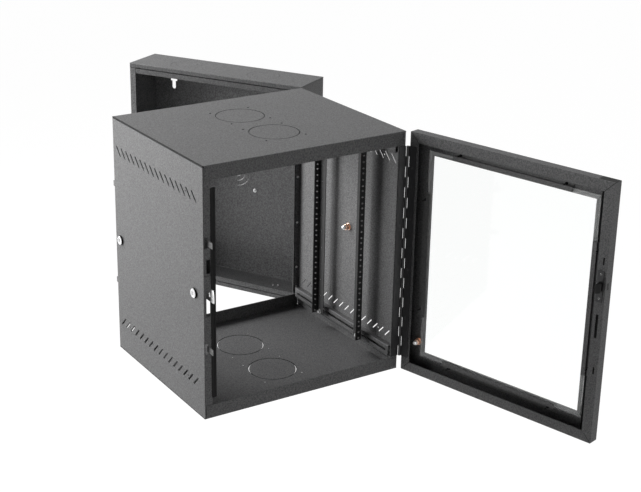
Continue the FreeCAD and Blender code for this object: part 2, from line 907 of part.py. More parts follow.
def vent_outline(level, lean):
    """One slanted slot of a vent row. Lean 1 puts its upper end further back."""
    along = size.vent_length / 2 / math.sqrt(2)
    across = size.vent_width / 2 / math.sqrt(2)
    first = body_front + size.vent_first_setback
    tip, tail = along + across, along - across
    return polygon(
        (first + tail * lean, level + tip),
        (first - tip * lean, level - tail),
        (first - tail * lean, level - tip),
        (first + tip * lean, level + tail),
    )


def make_side_panel(label, side):
    """Left (-1) or right (1) side panel, folded in at front and rear."""
    panel = new_body(label, BODY)
    skin = half_width * side
    front_edge = (half_width - size.front_flange) * side
    rear_flange = size.rear_flange if side < 0 else size.hinge_rear_flange
    rear_edge = (half_width - rear_flange) * side
    path = [(front_edge, body_front), (skin, body_front), (skin, body_rear), (rear_edge, body_rear)]
    panel_top = inside_top - size.panel_seam
    shell = pad(panel, "XY", -panel_top, panel_top, folded(path, size.sheet, side))
    round_bends(panel, shell, "Z", [(skin, body_front), (skin, body_rear)], size.bend_radius)
    inner_side = (half_width - size.sheet) * side
    strip = (half_width - size.corner_strip + size.seam_gap) * side
    for face, back, edge, band in (
        (body_front, body_front + size.sheet, front_edge, size.front_band),
        (body_rear - size.sheet, body_rear, rear_edge, size.rear_band),
    ):
        notch = top - band - size.seam_gap
        near, far = sorted((strip, edge), key=by_number)
        pocket(
            panel, "XZ", face, back,
            rectangle(near, notch, far, panel_top),
            rectangle(near, -panel_top, far, -notch),
        )
    low, high = sorted((skin, inner_side), key=by_number)
    level = top - size.vent_edge_distance
    row_length = size.body_depth - size.vent_first_setback - size.vent_last_margin
    count = int(whole(row_length / size.vent_pitch).number) + 1
    row = pocket(panel, "YZ", low, high, vent_outline(level, 1), vent_outline(-level, -1))
    repeat(panel, [row], "Y", size.vent_pitch, count)
    hole_columns = (1.5, count - 2.5)
    first = body_front + size.vent_first_setback
    holes = [
        circle((first + size.vent_pitch * column, level * end), size.vent_hole_radius)
        for column in hole_columns
        for end in (-1, 1)
    ]
    pocket(panel, "YZ", low, high, *holes)
    return panel


def make_left_panel():
    panel = make_side_panel("left_side_panel", -1)
    hole = size.lock_barrel_radius + size.screw_hole_clearance
    locks = [circle((place, lock_level), hole) for place in lock_places()]
    pocket(panel, "YZ", left, left + size.sheet, *locks)
    cam_slot = rectangle(
        left + size.cam_inset - size.cam_slot_near_play,
        lock_level - size.cam_slot_drop,
        left + size.cam_inset + size.cam_sheet + size.cam_slot_far_play,
        lock_level + size.cam_shank_top + size.cam_slot_top_play,
    )
    half_window = size.guide_window_height / 2
    windows = [
        rectangle(
            left + size.guide_inset - size.guide_window_near_play,
            level - half_window,
            left + size.guide_inset + size.guide_sheet + size.guide_window_far_play,
            level + half_window,
        )
        for level in guide_levels()
    ]
    half_strike = size.strike_window_length / 2
    strike = rectangle(
        left + size.strike_window_near,
        strike_level - half_strike,
        left + strike_far - size.strike_window_margin,
        strike_level + half_strike,
    )
    pocket(panel, "XZ", body_front, body_front + size.sheet, cam_slot, strike, *windows)
    pocket(panel, "XZ", body_rear - size.sheet, body_rear, cam_slot, *windows)


def make_right_panel():
    panel = make_side_panel("right_side_panel", 1)
    hole = size.leaf_screw_radius + size.screw_hole_clearance
    line = half_width - size.leaf_screw_inset
    screws = [circle((line, level), hole) for level in screw_levels()]
    pocket(panel, "XZ", body_front, body_front + size.sheet, *screws)
    pocket(panel, "XZ", body_rear - size.sheet, body_rear, *screws)
    earth = (body_front + size.body_earth_setback, bottom + size.body_earth_height)
    radius = size.earth_stud_radius + size.bolt_hole_clearance
    pocket(panel, "YZ", half_width - size.sheet, half_width, circle(earth, radius))


def make_brace(label, side, end):
    """Slotted channel along a side panel, which the rails bolt to."""
    brace = new_body(label, BODY)
    level = rail_bolt_level * -end
    half = size.brace_height / 2
    skin = (half_width - size.sheet) * side
    face = brace_face * side
    path = [(skin, level - half), (face, level - half), (face, level + half), (skin, level + half)]
    front = body_front + size.brace_front_setback
    rear = body_rear - size.brace_rear_setback
    channel = pad(brace, "XZ", front, rear, folded(path, size.brace_sheet, side * -1))
    corners = [(face, level - half), (face, level + half)]
    round_bends(brace, channel, "Y", corners, size.bend_radius)
    radius = size.brace_slot_width / 2
    slot = long_slot(
        (front + size.brace_slot_margin, level), (rear - size.brace_slot_margin, level), radius
    )
    low, high = sorted((face, (brace_face + size.brace_sheet) * side), key=by_number)
    pocket(brace, "YZ", low, high, slot)


def rail_places():
    """Each rail: name, side, position of its face, and which way its leg runs."""
    front = body_front + size.front_rail_setback
    rear = body_front + size.rear_rail_setback
    return [
        (f"{row}_{name}_rail", side, face, way)
        for row, face, way in (("front", front, 1), ("rear", rear, -1))
        for name, side in (("left", -1), ("right", 1))
    ]


def make_rail(label, side, face, way):
    """Tapped rack rail: an angle with the rack holes in its face and bolt holes in its leg."""
    rail = new_body(label, BODY)
    start = face if way > 0 else face + size.rail_sheet
    inner = (rail_edge - size.rail_face) * side
    outer = rail_edge * side
    path = [(inner, start), (outer, start), (outer, start + size.rail_leg * way)]
    pad(rail, "XY", rail_low, -rail_low, folded(path, size.rail_sheet, side * way))
    across = (size.rail_clear_width / 2 + size.rack_hole_inset) * side
    unit_holes = [
        circle((across, rail_bolt_level + size.rack_hole_step * step), size.rack_hole_radius)
        for step in range(3)
    ]
    count = int(rack_units.number)
    group = pocket(rail, "XZ", face, face + size.rail_sheet, *unit_holes)
    repeat(rail, [group], "Z", size.rack_unit, count)
    hole = circle((rail_bolt_line(face, way), rail_bolt_level), rail_bolt_hole())
    low, high = sorted((outer, outer - size.rail_sheet * side), key=by_number)
    leg_hole = pocket(rail, "YZ", low, high, hole)
    repeat(rail, [leg_hole], "Z", size.rack_unit, count)
    top_hole = circle((rail_bolt_line(face, way), -rail_bolt_level), rail_bolt_hole())
    pocket(rail, "YZ", low, high, top_hole)


def rail_bolt_hole():
    return size.rail_bolt_radius + size.bolt_hole_clearance


def rail_bolt_line(face, way):
    """Middle of a rail's leg, where its bolts stand."""
    start = face if way > 0 else face + size.rail_sheet
    return start + size.rail_leg * way / 2


def make_rail_fasteners():
    """Bolt, washer, stand-off and nut at both ends of each rail."""
    bolts, spacers, nuts = [], [], []
    leg_inner = rail_edge - size.rail_sheet
    web_back = brace_face + size.brace_sheet
    washer = size.rail_washer_height
    shank = web_back + size.rail_nut_height + size.rail_bolt_tail - leg_inner + washer
    bore = rail_bolt_hole()
    for label, side, face, way in rail_places():
        outward = "+X" if side > 0 else "-X"
        inward = "-X" if side > 0 else "+X"
        line = rail_bolt_line(face, way)
        for level in (rail_bolt_level, -rail_bolt_level):
            face_seat = (leg_inner * side, line, level)
            disc = rod(face_seat, inward, size.rail_washer_radius, washer)
            bolts.append(bored(disc, face_seat, inward, size.rail_bolt_radius + size.lock_fit, washer))
            seat = further(face_seat, inward, washer)
            bolts.append(
                fastener(seat, inward, size.rail_bolt_head_radius, size.rail_bolt_head_height,
                         size.rail_bolt_radius, shank, head=hexagon)
            )
            start = (rail_edge * side, line, level)
            length = brace_face - rail_edge
            tube = rod(start, outward, bore + size.rail_spacer_wall, length)
            spacers.append(bored(tube, start, outward, bore, length))
            nut_seat = (web_back * side, line, level)
            nuts.append(
                nut_on(nut_seat, outward, size.rail_bolt_head_radius, size.rail_nut_height,
                       size.rail_bolt_radius + size.lock_fit)
            )
    grouped("rail_bolts", BODY, bolts)
    grouped("rail_spacers", BODY, spacers)
    grouped("rail_nuts", BODY, nuts)


# Fittings of the main body's left front edge


def make_strike_plate():
    """Closed cup behind the flange, with the hole that the latch tongue catches in."""
    plate = new_body("door_strike_plate", BODY)
    half = size.strike_length / 2
    half_hole = size.strike_hole_length / 2
    near = body_front + size.sheet
    wall = size.strike_wall
    face = near + size.strike_sheet
    far_side = left + strike_far
    outline = rectangle(
        left + size.strike_near, strike_level - half, far_side, strike_level + half
    )
    cavity = rectangle(
        left + size.strike_near + wall, strike_level - half + wall,
        far_side - wall, strike_level + half - wall,
    )
    hole = rectangle(
        left + size.strike_hole_near,
        strike_level - half_hole,
        far_side - size.strike_hole_margin,
        strike_level + half_hole,
    )
    pad(plate, "XZ", near, near + size.strike_depth, outline)
    pocket(plate, "XZ", face, near + size.strike_depth - wall, cavity)
    pocket(plate, "XZ", near, face, hole)


def make_seal_strip():
    """Edge strip of soft plastic, pushed onto the flange beside the door opening."""
    strip = new_body("door_seal_strip", BODY)
    edge = left + size.front_flange
    grip = edge - size.seal_grip
    tip = edge + size.seal_reach
    middle = (edge + tip) / 2
    half_groove = size.seal_groove / 2
    front = body_front - size.seal_lip
    back = body_front + size.sheet + size.seal_lip
    outline = polygon(
        (grip, front),
        (middle - half_groove, front),
        (middle - half_groove, front + size.seal_groove),
        (middle + half_groove, front + size.seal_groove),
        (middle + half_groove, front),
        (tip, front),
        (tip, back),
        (grip, back),
        (grip, body_front + size.sheet),
        (edge, body_front + size.sheet),
        (edge, body_front),
        (grip, body_front),
    )
    half_length = top - size.front_band - size.seal_end_gap
    pad(strip, "XY", -half_length, half_length, outline)


def make_guides():
    """Bent tongues behind the left flanges, which reach through them to line up what shuts."""
    items = []
    near = left + size.guide_inset
    base = left + strike_far
    for face, way in ((body_front, 1), (body_rear, -1)):
        root = face + (size.sheet + size.guide_sheet) * way
        tip = face - size.guide_reach * way
        for level in guide_levels():
            half = size.guide_height / 2
            tongue = document.addObject("Part::Box", "Tongue")
            foot = document.addObject("Part::Box", "Foot")
            low_y, high_y = sorted((tip, root), key=by_number)
            set_box(tongue, (near, low_y, level - half),
                    (size.guide_sheet, high_y - low_y, size.guide_height))
            low_y, high_y = sorted((face + size.sheet * way, root), key=by_number)
            set_box(foot, (near, low_y, level - half),
                    (base - near, high_y - low_y, size.guide_height))
            items.append(joined(tongue, foot))
    grouped("guide_tongues", BODY, items)


def set_box(box, corner, lengths):
    for name, value in zip(("Length", "Width", "Height"), lengths):
        setattr(box, name, value.number)
        box.setExpression(name, value.formula)
    place_at(box, corner)


# Locks: bezel and barrel, nut, turning plug and its hooked cam


def lock_places():
    return [body_front + size.front_lock_setback, body_rear - size.rear_lock_setback]


def revolve_about_x(body, centre, *corners):
    """A turned piece: its half section is (distance along X, radius) about a centre line."""
    sketch = new_sketch(body, "XY", (left, centre[0], centre[1]))
    polygon(*corners)(sketch)
    turn = body.newObject("PartDesign::Revolution", "Revolution")
    turn.Profile = sketch
    turn.ReferenceAxis = (sketch, ["H_Axis"])
    turn.Angle = 360
    return turn


def make_lock(name, setback, way):
    """A lock in the left side panel. Way -1 hooks forwards, 1 hooks backwards."""
    centre = (setback, lock_level)
    bezel = -size.lock_bezel_height
    plug_bore = size.lock_plug_radius + size.lock_fit
    soften = size.bend_radius
    housing = new_body(name + "_lock_housing", BODY)
    revolve_about_x(
        housing, centre,
        (bezel, plug_bore),
        (bezel, size.lock_bezel_radius - soften),
        (bezel + soften, size.lock_bezel_radius),
        (as_size(0), size.lock_bezel_radius),
        (as_size(0), size.lock_barrel_radius),
        (size.cam_inset - size.lock_back_gap, size.lock_barrel_radius),
        (size.cam_inset - size.lock_back_gap, plug_bore),
    )
    seat = (left + size.sheet, setback, lock_level)
    nut = nut_on(seat, "+X", size.lock_nut_radius, size.lock_nut_height,
                 size.lock_barrel_radius + size.lock_fit)
    plug = new_body(name + "_lock_plug", BODY)
    face = bezel + size.lock_plug_recess
    core = as_size(0)
    revolve_about_x(
        plug, centre,
        (face, core),
        (face, size.lock_plug_radius),
        (size.cam_inset, size.lock_plug_radius),
        (size.cam_inset, size.cam_bore_radius),
        (size.cam_inset + size.cam_sheet, size.cam_bore_radius),
        (size.cam_inset + size.cam_sheet, size.cam_head_radius),
        (size.cam_inset + size.cam_sheet + size.cam_head_height, size.cam_head_radius),
        (size.cam_inset + size.cam_sheet + size.cam_head_height, core),
    )
    half_long, half_wide = size.key_slot_length / 2, size.key_slot_width / 2
    slot = rectangle(
        setback - half_wide, lock_level - half_long, setback + half_wide, lock_level + half_long
    )
    pocket(plug, "YZ", left + face, left + face + size.key_slot_depth, slot)
    make_cam(name, setback, way)
    return nut


def make_cam(name, setback, way):
    """Hooked cam: a hub, a shank through the flange slot, a neck and a hook with a round back."""
    if way < 0:
        flange = body_front
        keeper = body_front - door_knuckle * 2 - size.sheet
        room = size.door_depth - size.sheet * 2
        depth = room - size.cam_hook_clearance - size.cam_back_clearance
    else:
        flange = body_rear
        keeper = body_rear + swing_knuckle * 2 + size.sheet
        depth = size.rear_cam_hook_depth
    neck = (flange - setback) * way + size.cam_neck_start
    inner = (keeper - setback) * way + size.cam_hook_clearance
    back = inner + depth
    cam = new_body(name + "_lock_cam", BODY)
    start = left + size.cam_inset
    sketch = new_sketch(cam, "YZ", (setback, lock_level, start))
    hub = size.cam_hub
    shank_top, neck_top, hook_top = size.cam_shank_top, size.cam_neck_top, size.cam_hook_top
    low = -size.cam_bottom
    top_turn = math.asin(hook_top.number / back.number)
    low_turn = math.asin(size.cam_bottom.number / back.number)
    upper = back.number * math.cos(top_turn) * way
    lower = back.number * math.cos(low_turn) * way
    corners = [
        (as_size(upper), hook_top),
        (inner * way, hook_top),
        (inner * way, neck_top),
        (neck * way, neck_top),
        (neck * way, shank_top),
        (hub * way * 2, shank_top),
        (hub * way, hub),
        (hub * -way, hub),
        (hub * -way, -hub),
        (hub * way, -hub),
        (hub * way * 2, low),
        (as_size(lower), low),
    ]
    lines = [Part.LineSegment(flat(a), flat(b)) for a, b in zip(corners, corners[1:])]
    sketch.addGeometry(lines, False)
    count = len(lines)
    span = (math.pi - top_turn, math.pi + low_turn) if way < 0 else (-low_turn, top_turn)
    ring = Part.Circle(FreeCAD.Vector(), FreeCAD.Vector(0, 0, 1), back.number)
    sketch.addGeometry(Part.ArcOfCircle(ring, *span), False)
    low_end = 2 if way < 0 else 1
    for index in range(count - 1):
        sketch.addConstraint(Sketcher.Constraint("Coincident", index, 2, index + 1, 1))
        pin_point(sketch, index, 2, corners[index + 1])
    sketch.addConstraint(Sketcher.Constraint("Coincident", count, 3, -1, 1))
    constrain(sketch, "Radius", (count,), back)
    sketch.addConstraint(Sketcher.Constraint("Coincident", count - 1, 2, count, low_end))
    sketch.addConstraint(Sketcher.Constraint("Coincident", 0, 1, count, 3 - low_end))
    constrain(sketch, "DistanceY", (-1, 1, 0, 1), hook_top)
    constrain(sketch, "DistanceY", (-1, 1, count - 1, 2), low)
    plate = cam.newObject("PartDesign::Pad", "Pad")
    plate.Profile = sketch
    plate.Length = size.cam_sheet.number
    plate.setExpression("Length", size.cam_sheet.formula)
    bore = circle((setback, lock_level), size.cam_bore_radius + size.lock_fit)
    pocket(cam, "YZ", start, start + size.cam_sheet, bore)


# Piano hinges


def make_leaf(label, group, axis, knuckle, leaf, reach, pin, way, odd, levels):
    """One leaf of a piano hinge. It lies behind (1) or before (-1) the pin, with every other knuckle."""
    body = new_body(label, group)
    axis_x, axis_y = axis
    flat_side = axis_y + knuckle * way
    low_y, high_y = sorted((flat_side, flat_side - leaf * way), key=by_number)
    foot = hinge_length / -2
    edge = axis_x - reach
    plate_end = axis_x - knuckle - size.knuckle_gap
    pad(body, "XY", foot, -foot, rectangle(edge, low_y, plate_end, high_y))
    start = foot + knuckle_pitch * odd + size.knuckle_gap / 2
    finish = start + knuckle_pitch - size.knuckle_gap
    strap = pad(body, "XY", start, finish, rectangle(edge, low_y, axis_x, high_y))
    barrel = pad(body, "XY", start, finish, circle(axis, knuckle))
    count = (int(knuckle_count.number) + 1 - odd) // 2
    repeat(body, [strap, barrel], "Z", knuckle_pitch * 2, count)
    pocket(body, "XY", foot, -foot, circle(axis, pin + size.pin_clearance))
    line = half_width - size.leaf_screw_inset
    hole = size.leaf_screw_radius + size.screw_hole_clearance
    pocket(body, "XZ", low_y, high_y, *[circle((line, level), hole) for level in levels])


def leaf_screws(label, group, seat_y, direction, depth, levels):
    line = half_width - size.leaf_screw_inset
    screws = [
        fastener((line, seat_y, level), direction, size.leaf_screw_head_radius,
                 size.leaf_screw_head_height, size.leaf_screw_radius, depth)
        for level in levels
    ]
    grouped(label, group, screws)


def make_door_hinge():
    leaf, reach, pin = size.door_leaf_sheet, size.door_leaf_reach, size.door_pin_radius
    levels, facing = screw_levels(), offset_levels()
    for label, group, way, odd, holes in (
        ("door_hinge_body_leaf", BODY, 1, 1, levels),
        ("door_hinge_door_leaf", DOOR, -1, 0, facing),
    ):
        make_leaf(label, group, door_axis, door_knuckle, leaf, reach, pin, way, odd, holes)
    foot = (door_axis[0], door_axis[1], hinge_length / -2)
    grouped("door_hinge_pin", BODY, [rod(foot, "+Z", pin, hinge_length)])
    depth = leaf + size.sheet
    leaf_screws("door_hinge_body_screws", BODY, body_front - leaf, "-Y", depth, levels)
    leaf_screws("door_hinge_door_screws", DOOR, door_inner + leaf, "+Y", depth, facing)


def make_swing_hinge():
    leaf, reach, pin = size.swing_leaf_sheet, size.swing_leaf_reach, size.swing_pin_radius
    levels, facing = screw_levels(), offset_levels()
    for label, group, way, odd, holes in (
        ("swing_hinge_wall_leaf", WALL, 1, 0, facing),
        ("swing_hinge_body_leaf", BODY, -1, 1, levels),
    ):
        make_leaf(label, group, swing_axis, swing_knuckle, leaf, reach, pin, way, odd, holes)
    foot = (swing_axis[0], swing_axis[1], hinge_length / -2)
    grouped("swing_hinge_pin", WALL, [rod(foot, "+Z", pin, hinge_length)])
    depth = leaf + size.sheet
    leaf_screws("swing_hinge_body_screws", BODY, body_rear - size.sheet, "-Y", depth, levels)
    leaf_screws("swing_hinge_wall_screws", WALL, wall_front + size.sheet, "+Y", depth, facing)


# Door


def make_door_frame():
    """Sheet door frame: skin, edges and a mitred return flange all round."""
    frame = new_body("door_frame", DOOR)
    block = pad(frame, "XZ", door_outer, door_inner, rectangle(left, bottom, half_width, top))
    corners = [(left, door_outer), (half_width, door_outer)]
    rounded = round_bends(frame, block, "Z", corners, size.bend_radius)
    round_bends(frame, rounded, "X", [(door_outer, bottom), (door_outer, top)], size.bend_radius)

    def centred(inset):
        across, upright = half_width - inset, top - inset
        return rectangle(-across, -upright, across, upright)

    flange = door_inner - size.sheet
    pocket(frame, "XZ", door_skin, door_inner, centred(size.door_return))
    pocket(frame, "XZ", door_skin, flange, centred(size.sheet))
    pocket(frame, "XZ", door_outer, door_skin, centred(size.door_border))
    half_gap = size.mitre_gap / 2
    mitres = []
    for side in (-1, 1):
        for end in (-1, 1):
            outer = (half_width - size.sheet, top - size.sheet)
            inner = (half_width - size.door_return - size.mitre_gap,
                     top - size.door_return - size.mitre_gap)
            mitres.append(
                polygon(
                    ((outer[0] + half_gap * -1) * side, outer[1] * end),
                    (outer[0] * side, (outer[1] - half_gap) * end),
                    ((inner[0] + half_gap) * side, inner[1] * end),
                    (inner[0] * side, (inner[1] + half_gap) * end),
                )
            )
    pocket(frame, "XZ", flange, door_inner, *mitres)
    pocket(frame, "XZ", flange, door_inner, keeper_slot(), *guide_slots())
    hole = size.leaf_screw_radius + size.screw_hole_clearance
    line = half_width - size.leaf_screw_inset
    screws = [circle((line, level), hole) for level in offset_levels()]
    pocket(frame, "XZ", flange, door_inner, *screws)
    near, far, half = latch_opening()
    latch = rectangle(near, strike_level - half, far, strike_level + half)
    half_screws = size.latch_screw_spacing / 2
    middle = (near + far) / 2
    latch_screw = size.latch_screw_radius + size.screw_hole_clearance
    latch_screws = [
        circle((middle, strike_level + half_screws * end), latch_screw) for end in (-1, 1)
    ]
    pocket(frame, "XZ", flange, door_inner, latch, *latch_screws)
    low, high = latch_button_span()
    half_button = size.latch_button_height / 2 + size.latch_play
    button = rectangle(
        low - size.latch_play, strike_level - half_button,
        high + size.latch_play, strike_level + half_button,
    )
    pocket(frame, "YZ", left, left + size.sheet, button)
    studs = [circle(place, size.clip_stud_radius) for place in clip_stud_places()]
    pocket(frame, "XZ", door_outer + size.sheet / 2, door_skin, *studs)
    earth = (half_width - size.door_earth_inset, bottom + size.door_earth_height)
    pocket(frame, "XZ", door_outer + size.sheet / 2, door_skin, circle(earth, size.earth_stud_radius))


def clip_stud_places():
    """The eight studs that hold the glass bars, two to each side of the door."""
    reach = size.clip_length / 2 - size.clip_stud_inset
    across = half_width - clip_stud_edge
    upright = top - clip_stud_edge
    signs = (-1, 1)
    sides = [(across * side, reach * way) for side in signs for way in signs]
    ends = [(reach * way, upright * side) for side in signs for way in signs]
    return sides + ends


def make_glass():
    pane = new_body("door_glass", DOOR)
    gasket_top = door_skin + size.glass_gasket
    across, upright = half_width - glass_edge, top - glass_edge
    outline = rectangle(-across, -upright, across, upright)
    pad(pane, "XZ", gasket_top, gasket_top + size.glass_thickness, outline)
    seal = new_body("glass_gasket", DOOR)
    outer = glass_edge + size.gasket_margin
    inner = size.door_border - size.gasket_margin
    ring = [
        rectangle(-(half_width - edge), -(top - edge), half_width - edge, top - edge)
        for edge in (outer, inner)
    ]
    pad(seal, "XZ", door_skin, gasket_top, *ring)


def make_clips():
    """Folded bars that clamp the glass, one to each side of the door."""
    lip = door_skin + size.glass_gasket + size.glass_thickness
    half = size.clip_length / 2
    hole = size.clip_stud_radius + size.bolt_hole_clearance
    foot_top = door_skin + size.sheet
    for name, side, upright in (
        ("latch_side", -1, True),
        ("hinge_side", 1, True),
        ("bottom", -1, False),
        ("top", 1, False),
    ):
        clip = new_body(f"glass_clip_{name}", DOOR)
        outer = half_width if upright else top
        edges = [
            (outer - edge) * side
            for edge in (size.clip_foot_edge, size.clip_riser_edge, size.clip_lip_edge)
        ]
        levels = (door_skin, door_skin, lip, lip)
        along = (edges[0], edges[1], edges[1], edges[2])
        if upright:
            path = list(zip(along, levels))
            pad(clip, "XY", -half, half, folded(path, size.sheet, -side))
        else:
            path = list(zip(levels, along))
            pad(clip, "YZ", -half, half, folded(path, size.sheet, side))
        places = [place for place in clip_stud_places() if on_side(place, side, upright)]
        pocket(clip, "XZ", door_skin, foot_top, *[circle(place, hole) for place in places])


def on_side(place, side, upright):
    """Whether a stud belongs to a bar: upright bars have it far across, the others far up."""
    across, up = place[0].number, place[1].number
    line = half_width if upright else top
    value = across if upright else up
    return abs(value - (line - clip_stud_edge).number * side) < 1e-6


def make_clip_fasteners():
    studs, nuts = [], []
    seat_y = door_skin + size.sheet
    root = door_outer + size.sheet / 2
    for across, level in clip_stud_places():
        studs.append(rod((across, root, level), "+Y", size.clip_stud_radius, size.clip_stud_length))
        nuts.append(
            nut_on((across, seat_y, level), "+Y", size.clip_nut_radius, size.clip_nut_height,
                   size.clip_stud_radius + size.lock_fit)
        )
    grouped("glass_clip_studs", DOOR, studs)
    grouped("glass_clip_nuts", DOOR, nuts)


# Door latch: plate, case, sliding tongue with its push button, and spring


def latch_opening():
    """Near and far edge of the tongue's opening, and half its height."""
    near = left + size.latch_shank_near - size.latch_play
    far = (
        left + size.latch_shank_near + size.latch_shank_thickness + size.latch_stroke
        + size.latch_play
    )
    return near, far, size.latch_tongue_height / 2 + size.latch_play


def latch_button_span():
    """The button's place through the door's depth."""
    middle = door_inner - size.sheet - size.latch_case_depth / 2
    half = size.latch_button_thickness / 2
    return middle - half, middle + half


def make_latch():
    near, far, half = latch_opening()
    plate = new_body("latch_plate", DOOR)
    half_plate = size.latch_plate_length / 2
    face = door_inner + size.latch_plate_sheet
    outline = rectangle(
        left + size.latch_plate_near, strike_level - half_plate,
        left + size.latch_plate_far, strike_level + half_plate,
    )
    pad(plate, "XZ", door_inner, face, outline)
    middle = (near + far) / 2
    hole = size.latch_screw_radius + size.screw_hole_clearance
    half_screws = size.latch_screw_spacing / 2
    levels = [strike_level + half_screws * end for end in (-1, 1)]
    pocket(
        plate, "XZ", door_inner, face,
        rectangle(near, strike_level - half, far, strike_level + half),
        *[circle((middle, level), hole) for level in levels],
    )
    case_face = door_inner - size.sheet
    case_back = case_face - size.latch_case_depth
    half_case = size.latch_case_length / 2 + size.latch_case_wall * 3
    case = new_body("latch_case", DOOR)
    case_near = left + size.sheet
    pad(
        case, "XZ", case_back, case_face,
        rectangle(
            case_near, strike_level - half_case, left + size.latch_case_far,
            strike_level + half_case,
        ),
    )
    cavity_far = left + size.latch_case_far - size.latch_case_wall
    pocket(
        case, "XZ", case_back + size.latch_case_wall, case_face,
        rectangle(case_near, strike_level - half, cavity_far, strike_level + half),
    )
    pocket(
        case, "XZ", case_back, case_face,
        *[circle((middle, level), hole) for level in levels],
    )
    depth = size.latch_plate_sheet + size.sheet + size.latch_case_depth
    screws = [
        fastener((middle, face, level), "+Y", size.latch_screw_head_radius,
                 size.latch_screw_head_height, size.latch_screw_radius, depth)
        for level in levels
    ]
    grouped("latch_screws", DOOR, screws)
    make_latch_tongue(case_back + size.latch_case_wall + size.latch_play)
    make_latch_spring(cavity_far)


def make_latch_tongue(root):
    """Tongue with a sloped nose that catches behind the strike, and its button in the door's edge."""
    tongue = new_body("latch_tongue", DOOR)
    half = size.latch_tongue_height / 2
    near = left + size.latch_shank_near
    far = near + size.latch_shank_thickness
    tip = door_inner + size.latch_reach
    catch = body_front + size.sheet + size.strike_sheet + size.latch_play
    outline = polygon(
        (near, root),
        (near, catch),
        (near - size.latch_nose, catch),
        (near - size.latch_nose, catch + size.latch_nose / 2),
        (near + size.latch_shank_thickness / 2, tip),
        (far, tip),
        (far, root),
    )
    pad(tongue, "XY", strike_level - half, strike_level + half, outline)
    low, high = latch_button_span()
    half_button = size.latch_button_height / 2
    pad(
        tongue, "XY", strike_level - half_button, strike_level + half_button,
        rectangle(left, low, far, high),
    )


def make_latch_spring(cavity_far):
    """Leaf spring bent to a V, which pushes the tongue towards the door's free edge."""
    low, high = latch_button_span()
    start = left + size.latch_shank_near + size.latch_shank_thickness
    middle = (low + high) / 2
    thick = size.latch_spring_sheet
    half = size.latch_spring_height / 2
    feet = [middle - size.latch_spring_reach, middle + size.latch_spring_reach]
    spring = new_body("latch_spring", DOOR)
    outline = polygon(
        (start, feet[0]),
        (start + thick, feet[0]),
        (cavity_far, middle),
        (start + thick, feet[1]),
        (start, feet[1]),
        (cavity_far - thick, middle),
    )
    pad(spring, "XY", strike_level - half, strike_level + half, outline)


make_wall_pan()
make_wall_cap("wall_top_panel", 1)
make_wall_cap("wall_bottom_panel", -1)
make_wall_brace("wall_top_brace", 1)
make_wall_brace("wall_bottom_brace", -1)
wall_earth = (size.wall_earth_across, -size.sheet, bottom + size.wall_earth_height)
wall_fit = (
    (size.wall_stud_radius, size.wall_stud_tail),
    (size.wall_nut_radius, size.wall_nut_height),
    (size.wall_washer_radius, size.wall_washer_height),
)
make_earth_stud("wall_earth", WALL, wall_earth, "-Y", size.sheet, 1, *wall_fit)

make_body_cap("top_panel", 1)
make_body_cap("floor_panel", -1)
make_left_panel()
make_right_panel()
for brace_name, brace_side, brace_end in (
    ("upper_left_brace", -1, 1),
    ("upper_right_brace", 1, 1),
    ("lower_left_brace", -1, -1),
    ("lower_right_brace", 1, -1),
):
    make_brace(brace_name, brace_side, brace_end)
for rail_place in rail_places():
    make_rail(*rail_place)
make_rail_fasteners()
make_strike_plate()
make_seal_strip()
make_guides()
body_earth = (
    half_width - size.sheet,
    body_front + size.body_earth_setback,
    bottom + size.body_earth_height,
)
earth_fit = (
    (size.earth_stud_radius, size.earth_stud_tail),
    (size.earth_nut_radius, size.earth_nut_height),
    (size.earth_washer_radius, size.earth_washer_height),
)
make_earth_stud("body_earth", BODY, body_earth, "-X", size.sheet, 3, *earth_fit)
front_lock, rear_lock = lock_places()
lock_nuts = [make_lock("front", front_lock, -1), make_lock("rear", rear_lock, 1)]
grouped("lock_nuts", BODY, lock_nuts)

make_door_hinge()
make_swing_hinge()

make_door_frame()
make_glass()
make_clips()
make_clip_fasteners()
door_earth = (
    half_width - size.door_earth_inset,
    door_skin,
    bottom + size.door_earth_height,
)
make_earth_stud("door_earth", DOOR, door_earth, "+Y", size.sheet / 2, 3, *earth_fit)
make_latch()

document.recompute()
idle = []
for item in document.Objects:
    if {"Invalid", "Error"} & set(item.State):
        raise RuntimeError(f"{item.Label} failed: {item.State}")
    if item.TypeId == "PartDesign::Pocket":
        if item.Shape.Volume > item.BaseFeature.Shape.Volume - 1e-3:
            idle.append(f"{item.Label} of {item.getParentGeoFeatureGroup().Label}")
if idle:
    raise RuntimeError("these cut nothing: " + ", ".join(idle))
labels = [piece.Label for piece in pieces]
if len(set(labels)) != len(labels):
    raise RuntimeError("two pieces share a name")
for piece in pieces:
    if piece.Shape.isNull() or not piece.Shape.isValid():
        raise RuntimeError(f"{piece.Label} has no valid shape")

os.makedirs("parts", exist_ok=True)
for piece in pieces:
    piece.Shape.exportStep(f"parts/{piece.Label}.step")
print(len(pieces), "pieces written")
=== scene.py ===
import math

import bmesh
import bpy
from mathutils import Matrix, Vector


